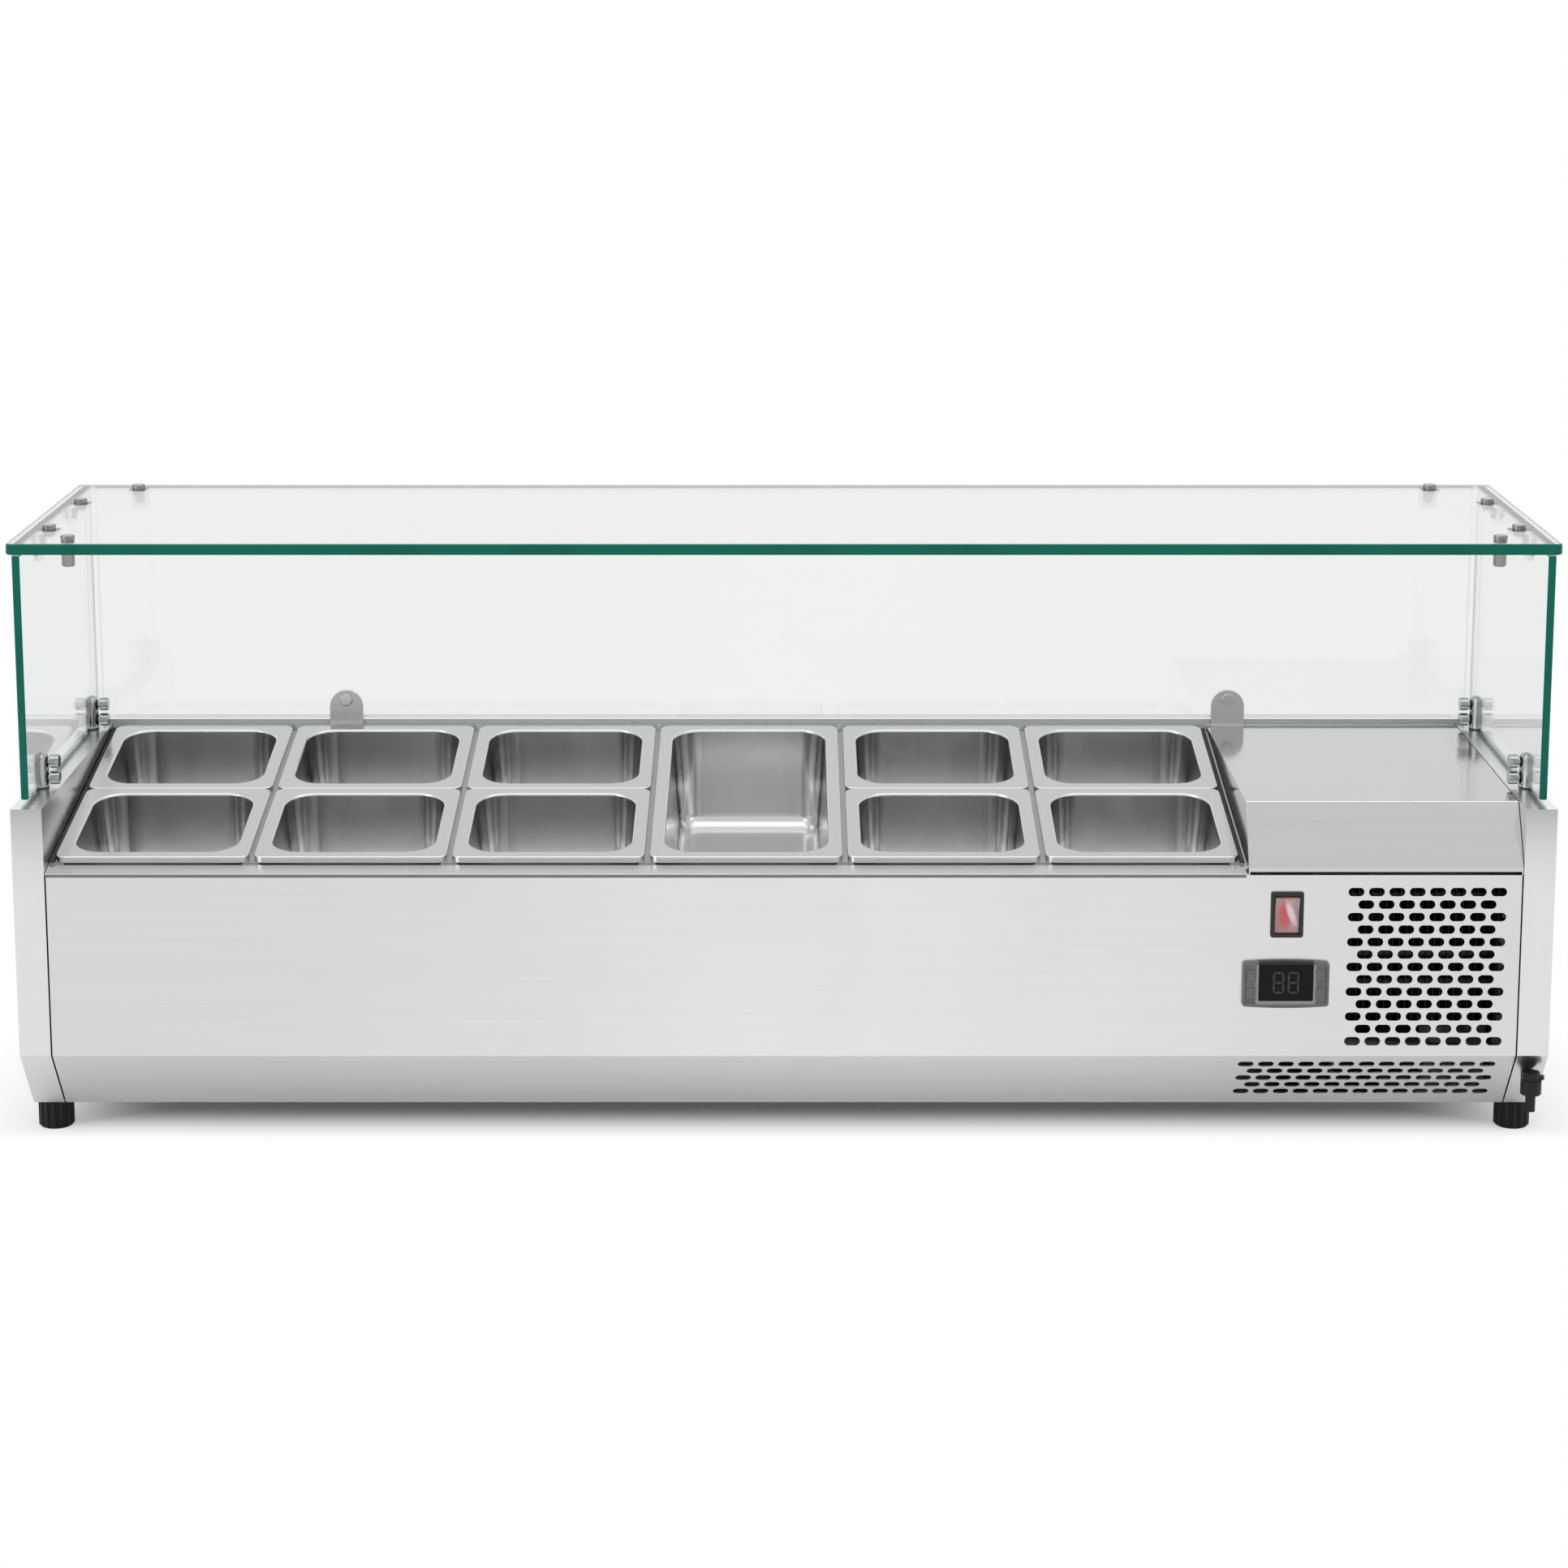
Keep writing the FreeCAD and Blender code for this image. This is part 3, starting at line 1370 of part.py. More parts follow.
def rocker_switch():
    """A panel switch: a bezel with its box through the panel, and a rocker on two pins in it."""
    housing = new_body("switch_housing")
    clear = "2 * seam - steel - 2 * fit"
    box = centred(
        face_sketch(housing, "0"),
        CONTROL_X,
        SWITCH_Z,
        f"switch_width - {clear}",
        f"switch_height - {clear}",
    )
    pad(housing, box, "switch_depth", reverse=True)
    frame = face_sketch(housing, "0")
    centred(frame, CONTROL_X, SWITCH_Z, "switch_width", "switch_height", "switch_corner")
    pad(housing, frame, "switch_proud")
    face = housing.Shape.BoundBox.YMin
    soften(housing, "switch_proud / 2", lambda edge: near(edge.YMax, face))
    well = face_sketch(housing, "switch_proud")
    centred(
        well,
        CONTROL_X,
        SWITCH_Z,
        "switch_width - 2 * switch_wall",
        "switch_height - 2 * switch_wall",
    )
    pocket(housing, well, "switch_well")
    pivot = sketch_on(housing, "YZ_Plane", f"{CONTROL_X} + switch_width / 2")
    circle(pivot, f"{FRONT} + rocker_pivot", SWITCH_Z, "rocker_pin + fit")
    pocket(housing, pivot, "switch_width")
    node(housing)

    rocker = new_body("switch_rocker")
    half = "(switch_width / 2 - switch_wall - rocker_play)"
    tip = "(rocker_face + rocker_half * tan(rocker_tilt))"
    profile = [
        ("-rocker_face", "0"),
        (f"-{tip}", "-rocker_half"),
        ("rocker_end", "-rocker_half"),
        ("rocker_back", "-rocker_heel"),
        ("rocker_back", "rocker_heel"),
        ("rocker_end", "rocker_half"),
        (f"-{tip}", "rocker_half"),
    ]
    pad(rocker, polygon(sketch_on(rocker, "YZ_Plane", f"-{half}"), profile), f"2 * {half}")
    reach = f"({half} + rocker_play + rocker_pin_length)"
    pins = circle(sketch_on(rocker, "YZ_Plane", f"-{reach}"), "0", "0", "rocker_pin")
    pad(rocker, pins, f"2 * {reach}")
    place(rocker, CONTROL_X, f"{FRONT} + rocker_pivot", SWITCH_Z, X_AXIS, turn_by="rocker_tilt")
    node(rocker)


def bowed(drawing, x, y, width, height, bow):
    """A rectangle whose long sides bulge outwards by the bow."""
    half_width = value(f"({width}) / 2")
    half_height = value(f"({height}) / 2 - {bow}")
    rise = value(bow)
    radius = (half_width**2 + rise**2) / (2 * rise)
    spread = math.asin(half_width / radius)
    middle = Vector(value(x), value(y), 0)
    quarter = math.pi / 2
    for up in (1, -1):
        centre = middle + Vector(0, up * (half_height + rise - radius), 0)
        towards = up * quarter
        arc = Part.ArcOfCircle(Part.Circle(centre, Z_AXIS, radius), towards - spread, towards + spread)
        drawing.addGeometry(arc)
    corners = [arc_end for arc in drawing.Geometry for arc_end in (arc.StartPoint, arc.EndPoint)]
    drawing.addGeometry(Part.LineSegment(corners[1], corners[2]))
    drawing.addGeometry(Part.LineSegment(corners[3], corners[0]))
    for one, end, other, start in ((0, 2, 2, 1), (2, 2, 1, 1), (1, 2, 3, 1), (3, 2, 0, 1)):
        drawing.addConstraint(Sketcher.Constraint("Coincident", one, end, other, start))
    side_x = f"({width}) / 2"
    side_y = f"(({height}) / 2 - {bow})"
    pin_point(drawing, 0, 1, corners[0], f"{x} + {side_x}", f"{y} + {side_y}")
    pin_point(drawing, 0, 2, corners[1], f"{x} - {side_x}", f"{y} + {side_y}")
    pin_point(drawing, 1, 1, corners[2], f"{x} - {side_x}", f"{y} - {side_y}")
    pin_point(drawing, 1, 2, corners[3], f"{x} + {side_x}", f"{y} - {side_y}")
    arc_radius = f"(({side_x}) * ({side_x}) + {bow} * {bow}) / (2 * {bow})"
    for number in (0, 1):
        dimension(drawing, Sketcher.Constraint("Radius", number, radius), arc_radius)
    return drawing


def controller():
    """The temperature controller: a bowed bezel with a window and two strips of two keys."""
    housing = new_body("controller_housing")
    box = centred(
        face_sketch(housing, "0"),
        CONTROL_X,
        CONTROLLER_Z,
        "controller_body_width",
        "controller_body_height",
    )
    pad(housing, box, "controller_depth", reverse=True)
    bezel = face_sketch(housing, "0")
    bowed(bezel, CONTROL_X, CONTROLLER_Z, "controller_width", "controller_height", "controller_bow")
    pad(housing, bezel, "bezel_proud")
    face = housing.Shape.BoundBox
    proud = size("bezel_proud")
    soften(housing, "controller_corner", lambda edge: near(edge.YLength, proud))
    soften(housing, "controller_edge", lambda edge: near(edge.YMax, face.YMin))
    window_z = f"({CONTROLLER_Z} + window_rise)"
    seat = face_sketch(housing, "bezel_proud")
    centred(seat, CONTROL_X, window_z, "window_width", "window_height", "controller_edge")
    pocket(housing, seat, "window_sheet + window_inset")
    strips = face_sketch(housing, "bezel_proud")
    wells = face_sketch(housing, "bezel_proud")
    places = []
    for side, sign in (("left", "-1"), ("right", "1")):
        x = f"({CONTROL_X} + {sign} * key_side)"
        centred(strips, x, CONTROLLER_Z, "strip_width", "strip_height")
        for level, rise in (("upper", "1"), ("lower", "-1")):
            z = f"({CONTROLLER_Z} + {rise} * key_rise)"
            centred(wells, x, z, "key_width + 2 * key_play", "key_height + 2 * key_play")
            places.append((f"controller_key_{side}_{level}", x, z))
    pocket(housing, strips, "strip_recess")
    pocket(housing, wells, "strip_recess + key_well")
    node(housing)

    window = new_body("controller_window")
    pane = face_sketch(window, "bezel_proud - window_inset")
    smaller = "2 * fit"
    centred(
        pane,
        CONTROL_X,
        window_z,
        f"window_width - {smaller}",
        f"window_height - {smaller}",
        "controller_edge - fit",
    )
    pad(window, pane, "window_sheet", reverse=True)
    node(window)

    for label, x, z in places:
        key = new_body(label)
        outline = face_sketch(key, "bezel_proud - strip_recess + key_proud")
        centred(outline, x, z, "key_width", "key_height")
        pad(key, outline, "key_proud + key_well - key_travel", reverse=True)
        front = key.Shape.BoundBox.YMin
        soften(key, "key_edge", lambda edge: near(edge.YMax, front))
        node(key)


def feet():
    """Four screw feet: a fluted pad with a threaded stud through the end panel's bottom flange."""
    stud = turned(
        "foot_stud_original",
        [
            ("0", "stud_seat"),
            ("foot_stud", "stud_seat"),
            ("foot_stud", "leg_gap + stud_reach - stud_tip"),
            ("foot_stud - stud_tip", "leg_gap + stud_reach"),
            ("0", "leg_gap + stud_reach"),
        ],
    )
    top = "(leg_gap - foot_play)"
    sole = turned(
        "foot_pad_original",
        [
            ("0", "0"),
            ("foot_radius - foot_edge", "0"),
            ("foot_radius", "foot_edge"),
            ("foot_radius", f"{top} - foot_edge"),
            ("foot_radius - foot_edge", top),
            ("foot_stud + fit", top),
            ("foot_stud + fit", "stud_seat"),
            ("0", "stud_seat"),
        ],
    )
    groove = circle(sketch_on(sole, "XY_Plane"), "foot_radius", "0", "flute_radius")
    ring_of(sole, pocket(sole, groove, "leg_gap", reverse=True), FOOT_FLUTES)
    inset = f"({HALF} - foot_inset)"
    for side, sign in (("left", "-1"), ("right", "1")):
        for where, y in (("front", f"{FRONT} + foot_front"), ("back", f"{BACK} - foot_back")):
            for kind, original in (("stud", stud), ("pad", sole)):
                member = copy(f"foot_{kind}_{side}_{where}", original)
                node(place(member, f"{sign} * {inset}", y))


def drain_tap():
    """A small drain valve: a round body on its neck, a spout below and a lever on top."""
    body = turned(
        "drain_tap_body",
        [
            ("tap_bore", "-tap_spout_drop"),
            ("tap_spout", "-tap_spout_drop"),
            ("tap_spout", "-tap_drop"),
            ("tap_radius", "-tap_drop"),
            ("tap_radius", "tap_rise"),
            ("tap_stem + fit", "tap_rise"),
            ("tap_stem + fit", "tap_rise - tap_stem_depth"),
            ("0", "tap_rise - tap_stem_depth"),
            ("0", "tap_bore_depth - tap_spout_drop"),
            ("tap_bore", "tap_bore_depth - tap_spout_drop"),
        ],
    )
    wide = size("tap_radius") * 2
    soften(body, "tap_edge", lambda box: box.ZLength < 1e-3 and near(box.XLength, wide))
    start = "(tap_radius - tap_edge)"
    neck = circle(sketch_on(body, "XZ_Plane", f"-{start}"), "0", "-seam", "tap_neck")
    pad(body, neck, f"tap_neck_length - {start}", reverse=True)
    node(place(body, TAP_X, TAP_Y, "tap_height + seam"))

    low = "(tap_rise + room)"
    high = f"({low} + tap_knob_height)"
    handle = turned(
        "drain_tap_handle",
        [
            ("0", "tap_rise - tap_stem_depth + room"),
            ("tap_stem", "tap_rise - tap_stem_depth + room"),
            ("tap_stem", low),
            ("tap_knob", low),
            ("tap_knob", high),
            ("0", high),
        ],
    )
    middle = "((tap_lever - tap_tail) / 2)"
    lever = sketch_on(handle, "XY_Plane", low)
    obround(lever, middle, "0", "tap_lever + tap_tail", "tap_lever_width")
    pad(handle, lever, "tap_knob_height / 2")
    node(place(handle, TAP_X, TAP_Y, "tap_height + seam"))


def compressor():
    """A hermetic can on its foot plate, standing on four rubber mounts."""
    body = turned(
        "compressor",
        [
            ("0", "0"),
            ("compressor_radius", "0"),
            ("compressor_radius", "compressor_height"),
            ("0", "compressor_height"),
        ],
    )
    ends = body.Shape.BoundBox
    soften(body, "compressor_dome", lambda box: near(box.ZMin, ends.ZMax))
    soften(body, "compressor_foot", lambda box: near(box.ZMax, ends.ZMin))
    plate = sketch_on(body, "XY_Plane")
    rectangle(plate, "-plate_half_x", "plate_half_x", "-plate_half_y", "plate_half_y")
    pad(body, plate, "plate_sheet", reverse=True)
    suction = circle(sketch_on(body, "YZ_Plane"), "0", "stub_height", "stub_radius")
    pad(body, suction, "stub_length", reverse=True)
    discharge = circle(sketch_on(body, "XZ_Plane"), "0", "stub_height", "stub_radius")
    pad(body, discharge, "stub_length")
    node(place(body, COMPRESSOR_X, COMPRESSOR_Y, f"{MOUNT_Z} + plate_sheet"))
    members = []
    for x in ("-mount_side_x", "mount_side_x"):
        for y in ("-mount_side_y", "mount_side_y"):
            mount = doc.addObject("Part::Cylinder", "compressor_mount")
            bind(mount, {"Radius": "mount_radius", "Height": "mount_height"})
            members.append(place(mount, f"{COMPRESSOR_X} + {x}", f"{COMPRESSOR_Y} + {y}", FLOOR))
    group("compressor_mounts", members)


def condenser():
    """A finned block behind the vents: tubes through fins, between two end plates on the floor."""
    body = new_body("condenser")
    back = f"({CONDENSER_Y} + condenser_depth)"
    low = f"({FAN_Z} - condenser_height / 2)"
    high = f"({FAN_Z} + condenser_height / 2)"
    leg = f"({back} - condenser_leg)"
    plates = []
    for x in (CONDENSER_X, f"({CONDENSER_X} + condenser_width - plate_sheet)"):
        corners = [(back, FLOOR), (back, high), (CONDENSER_Y, high)]
        corners += [(CONDENSER_Y, low), (leg, low), (leg, FLOOR)]
        plates.append(polygon(sketch_on(body, "YZ_Plane", x), corners))
    pad(body, plates[0], "plate_sheet")
    tubes = sketch_on(body, "YZ_Plane", f"{CONDENSER_X} - tube_end")
    for y in (f"{CONDENSER_Y} + tube_inset", f"{back} - tube_inset"):
        for number in range(-2, 3):
            circle(tubes, y, f"{FAN_Z} + {number} * tube_rows", "tube_radius")
    pad(body, tubes, "condenser_width + 2 * tube_end")
    pad(body, plates[1], "plate_sheet")
    fin = sketch_on(body, "YZ_Plane", f"{CONDENSER_X} + fin_pitch")
    rectangle(fin, CONDENSER_Y, back, low, high)
    fins = body.newObject("PartDesign::LinearPattern", "fins")
    fins.Originals = [pad(body, fin, "fin_sheet")]
    fins.Direction = (fin, ["N_Axis"])
    fins.Mode = "Spacing"
    fins.Occurrences = FINS
    bind(fins, {"Offset": "fin_pitch"})
    body.Tip = fins
    settle(body, fins)
    node(body)


def fan():
    """Blades lofted from a steep root to a flatter tip round a hub, and the motor on its stand."""
    blades = turned(
        "fan_blades",
        [
            ("shaft_radius + fit", "-fan_hub_length / 2"),
            ("fan_hub", "-fan_hub_length / 2"),
            ("fan_hub", "fan_hub_length / 2"),
            ("shaft_radius + fit", "fan_hub_length / 2"),
        ],
    )
    sections = []
    for where, chord, pitch in (
        ("fan_root", "root_chord", "root_pitch"),
        ("fan_radius", "tip_chord", "tip_pitch"),
    ):
        corners = []
        for along, across in ((-1, -1), (1, -1), (1, 1), (-1, 1)):
            y = f"{along} * {chord} / 2 * cos({pitch}) - {across} * blade_sheet / 2 * sin({pitch})"
            z = f"{along} * {chord} / 2 * sin({pitch}) + {across} * blade_sheet / 2 * cos({pitch})"
            corners.append((y, z))
        sections.append(polygon(sketch_on(blades, "YZ_Plane", where), corners))
    doc.recompute()
    blade = blades.newObject("PartDesign::AdditiveLoft", "blade")
    blade.Profile = sections[0]
    blade.Sections = sections[1:]
    blade.Ruled = True
    settle(blades, blade)
    ring_of(blades, blade, FAN_BLADES)
    node(place(blades, FAN_X, FAN_Y, FAN_Z, X_AXIS, -90))

    motor = new_body("fan_motor")
    face = f"({FAN_Y} + fan_hub_length / 2 + motor_gap)"
    can = circle(sketch_on(motor, "XZ_Plane", f"-{face}"), FAN_X, FAN_Z, "motor_radius")
    pad(motor, can, "motor_length", reverse=True)
    soften(motor, "motor_edge", lambda box: near(box.YMin, box.YMax))
    shaft = circle(sketch_on(motor, "XZ_Plane", f"-{face}"), FAN_X, FAN_Z, "shaft_radius")
    pad(motor, shaft, "shaft_length")
    stand_y = f"({face} + motor_length / 2)"
    sides = (f"{FAN_X} - stand_half", f"{FAN_X} + stand_half")
    stand = rectangle(sketch_on(motor, "XZ_Plane", f"-{stand_y}"), *sides, FLOOR, FAN_Z)
    pad(motor, stand, "stand_sheet", reverse=True)
    foot = sketch_on(motor, "XY_Plane", FLOOR)
    rectangle(foot, *sides, f"{stand_y} - stand_half", f"{stand_y} + stand_half")
    pad(motor, foot, "stand_sheet")
    node(motor)


def cable_gland():
    """The gland in the floor that the supply lead would pass through."""
    body = turned(
        "cable_gland",
        [
            ("gland_bore", "-gland_length"),
            ("gland_neck", "-gland_length"),
            ("gland_radius", "-gland_nut"),
            ("gland_radius", "0"),
            ("gland_neck", "0"),
            ("gland_neck", "steel"),
            ("gland_radius", "steel"),
            ("gland_radius", "steel + gland_nut"),
            ("gland_bore", "steel + gland_nut"),
        ],
    )
    node(place(body, GLAND_X, GLAND_Y, "leg_gap + steel"))


def refrigerant_lines():
    """The drier and the pipes between compressor, condenser and cold coil."""
    side = f"({BAY} + pipe_side)"
    low = f"({FAN_Z} - 2 * tube_rows)"
    high = f"({FAN_Z} + 2 * tube_rows)"
    near_tube = f"({CONDENSER_Y} + tube_inset)"
    far_tube = f"({CONDENSER_Y} + condenser_depth - tube_inset)"
    entry = f"({CONDENSER_X} - tube_end)"
    start = f"({far_tube} + drier_lead)"
    stop = f"({start} + drier_length)"
    drier = turned(
        "filter_drier",
        [
            ("0", "0"),
            ("pipe_radius", "0"),
            ("drier_radius", "drier_cone"),
            ("drier_radius", "drier_length - drier_cone"),
            ("pipe_radius", "drier_length"),
            ("0", "drier_length"),
        ],
    )
    node(place(drier, side, start, low, X_AXIS, -90))
    coil_in = deck_point(COIL_FIRST, COIL_LEVEL)
    coil_out = deck_point(COIL_LAST, COIL_LEVEL)
    stub = f"({BAY} + coil_stub)"
    suction_end = f"({COMPRESSOR_X} - stub_length)"
    discharge_end = f"({COMPRESSOR_Y} - stub_length)"
    runs = {
        "suction_pipe": [
            (stub, *coil_out),
            (side, *coil_out),
            (side, COMPRESSOR_Y, STUB_Z),
            (suction_end, COMPRESSOR_Y, STUB_Z),
        ],
        "discharge_pipe": [
            (COMPRESSOR_X, discharge_end, STUB_Z),
            (COMPRESSOR_X, f"{discharge_end} - drier_lead", STUB_Z),
            (side, f"{discharge_end} - drier_lead", high),
            (side, near_tube, high),
            (entry, near_tube, high),
        ],
        "liquid_pipe": [
            (entry, far_tube, low),
            (side, far_tube, low),
            (side, start, low),
        ],
    }
    bend = size("pipe_bend")
    pipes = [
        tube(label, [spot(*point) for point in run], size("pipe_radius"), bend)
        for label, run in runs.items()
    ]
    capillary = [
        (side, stop, low),
        (side, f"{stop} + drier_lead", low),
        (side, f"{stop} + drier_lead", coil_in[1]),
        (side, *coil_in),
        (stub, *coil_in),
    ]
    points = [spot(*point) for point in capillary]
    pipes.append(tube("capillary_pipe", points, size("capillary_radius"), size("capillary_bend")))
    group("refrigerant_pipes", pipes)


doc.recompute()
end_panel("left_end_panel", True)
end_panel("right_end_panel", False)
front_panel()
rear_panel()
base_plate()
well_frame()
well_liner()
divider_bars()
pans()
machine_cover()
bay_partition()
insulation()
evaporator_tube()
drain_pipe()
glass_top()
glass_side("glass_left", "-1")
glass_side("glass_right", "1")
glass_rear()
glass_clamps()
rear_glass_brackets()
glass_clips()
glass_bolts()
glass_seals()
rocker_switch()
controller()
feet()
drain_tap()
compressor()
condenser()
fan()
refrigerant_lines()
cable_gland()


def write_nodes():
    """Checks every object of the document and writes each node's shape."""
    doc.recompute()
    for thing in doc.Objects:
        if "Invalid" in thing.State or "Error" in thing.State:
            raise RuntimeError(f"{thing.Label}: {thing.State}")
    os.makedirs("parts", exist_ok=True)
    for thing in nodes:
        shape = Part.getShape(thing)
        if shape.isNull() or not shape.isValid() or not shape.Solids:
            raise RuntimeError(f"{thing.Label}: the shape is not a valid solid")
        shape.exportStep(f"parts/{thing.Label}.step")


write_nodes()
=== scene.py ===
"""Finishes, fine pieces and studio of a refrigerated condiment station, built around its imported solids."""

import json
import math

import bmesh
import bpy
from bpy.props import FloatProperty, FloatVectorProperty, IntProperty, PointerProperty
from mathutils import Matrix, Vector

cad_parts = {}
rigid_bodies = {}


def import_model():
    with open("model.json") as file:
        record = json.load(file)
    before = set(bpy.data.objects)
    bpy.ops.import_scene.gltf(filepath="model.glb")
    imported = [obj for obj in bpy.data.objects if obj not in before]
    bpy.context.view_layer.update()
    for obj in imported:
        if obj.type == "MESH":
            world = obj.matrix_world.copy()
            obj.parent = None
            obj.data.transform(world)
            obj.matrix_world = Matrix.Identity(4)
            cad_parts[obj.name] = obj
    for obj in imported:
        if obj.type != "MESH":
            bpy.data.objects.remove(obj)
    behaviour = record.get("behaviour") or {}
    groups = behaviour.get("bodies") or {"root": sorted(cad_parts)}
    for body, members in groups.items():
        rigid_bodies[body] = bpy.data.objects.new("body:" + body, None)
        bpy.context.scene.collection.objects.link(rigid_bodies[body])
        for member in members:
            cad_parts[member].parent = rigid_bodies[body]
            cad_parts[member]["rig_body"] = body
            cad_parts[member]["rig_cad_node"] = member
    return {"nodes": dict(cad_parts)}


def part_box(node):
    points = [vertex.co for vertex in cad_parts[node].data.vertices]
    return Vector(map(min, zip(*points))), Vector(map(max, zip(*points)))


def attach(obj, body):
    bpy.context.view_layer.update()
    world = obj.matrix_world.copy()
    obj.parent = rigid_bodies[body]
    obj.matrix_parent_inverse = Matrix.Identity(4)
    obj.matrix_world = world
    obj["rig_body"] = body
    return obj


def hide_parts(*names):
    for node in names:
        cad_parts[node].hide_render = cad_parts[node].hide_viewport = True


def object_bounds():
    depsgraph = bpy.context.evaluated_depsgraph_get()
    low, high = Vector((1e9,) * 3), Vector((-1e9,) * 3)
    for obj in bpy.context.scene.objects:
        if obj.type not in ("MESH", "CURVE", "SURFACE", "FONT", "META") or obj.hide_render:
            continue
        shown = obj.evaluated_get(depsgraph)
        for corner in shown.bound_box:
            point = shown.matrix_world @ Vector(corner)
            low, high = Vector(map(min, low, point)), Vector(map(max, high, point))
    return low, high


bl_info = {
    "name": "Condiment Station",
    "version": (1, 0, 0),
    "blender": (4, 5, 0),
    "location": "3D View > Sidebar > Station",
    "description": "Dresses a refrigerated condiment station in its finishes and fine pieces",
    "category": "Object",
}

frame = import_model()
CAD_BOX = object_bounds()

SIXTH_PANS = [f"sixth_pan_{column}_{row}" for column in (1, 2, 3, 5, 6) for row in ("front", "rear")]
FEET = [f"{side}_{end}" for side in ("left", "right") for end in ("front", "back")]
KEYS = [f"controller_key_{side}_{level}" for side in ("left", "right") for level in ("upper", "lower")]

# How often a grain repeats along X, Y and Z. It runs along the axis with the smallest number.
GRAIN_LEVEL = (3.0, 900.0, 900.0)
GRAIN_UPRIGHT = (900.0, 900.0, 3.0)
GRAIN_DRAWN = (260.0, 260.0, 12.0)
GRAIN_FINS = (500.0, 40.0, 40.0)
GRAIN_CLOUDY = (9.0, 9.0, 9.0)
GRAIN_FINE_SHARE = 0.65

# How far a face or a view looks along an axis: 1 is along it, 0 is across it and -1 is against it.
FACING_STARTS = 0.8
FACING_FULL = 0.95
FRONT_STARTS = -0.3
FRONT_FULL = -0.6
SKY_FRONT = -0.95
SKY_BACK = -0.2

# Each pane's facing axis, and how far its ground edges may still look along it.
ARRIS_GROUND = 0.9
ARRIS_CLEAR = 0.3
PANES = {
    "glass_top": (2, ARRIS_GROUND),
    "glass_left": (0, ARRIS_GROUND),
    "glass_right": (0, ARRIS_GROUND),
    "glass_rear": (1, ARRIS_CLEAR),
}

# Modelling of the fine pieces.
WELD = 1e-6
ROUND_SHARE = 0.7
STRIP_STEPS = 3
SEAL_STEPS = 4
SEAL_LIFT_SHARE = 0.1
BAR_SIDE_SHARE = 0.1
SPARE_TURNS = 3

# Shares and curves of the finishes.
SMUDGE_STARTS = 0.42
SMUDGE_FULL = 0.72
# The flange curve shapes the painted shade at the tops of the end flanges.
FLANGE_CURVE = 2.0
# The frame edge share shapes the painted highlight beside the controller window.
FRAME_HIGHLIGHT_SHARE = 0.7
FRAME_BROW_SHARE = 0.2
# Lean of the painted highlight across the rocker lens.
HIGHLIGHT_LEAN = -0.35
PATCH_FULL = 0.7

# Half the depth of a box that reaches right through the station, in metres.
THROUGH = 1.0

# Places and sizes of the lamps, in metres.
LAMP_TARGET = (0.0, 0.0, 0.3)
TOP_LAMP_PLACE = (0.0, -0.5, 2.3)
TOP_LAMP_SIZE = (2.6, 1.6)
SIDE_LAMP_PLACE = (-2.2, -1.7, 1.3)
SIDE_LAMP_SIZE = (1.2, 1.6)

# Colour sockets of a Mix node.
MIX_A = 6
MIX_B = 7
MIX_RESULT = 2
WHITE = (1.0, 1.0, 1.0, 1.0)


def colour(label, about, value):
    """A colour a user may change."""
    return FloatVectorProperty(
        name=label, description=about, subtype="COLOR", size=3, default=value, min=0.0, max=1.0
    )


def length(label, about, value):
    """A length a user may change."""
    return FloatProperty(
        name=label, description=about, default=value, min=0.0, unit="LENGTH", subtype="DISTANCE"
    )


def angle(label, about, degrees):
    """An angle a user may change."""
    return FloatProperty(name=label, description=about, default=math.radians(degrees), subtype="ANGLE")


def amount(label, about, value, highest=10.0):
    """A plain number a user may change."""
    return FloatProperty(name=label, description=about, default=value, min=0.0, max=highest)


def power(label, about, value):
    """A lamp's power a user may change."""
    return FloatProperty(name=label, description=about, default=value, unit="POWER")


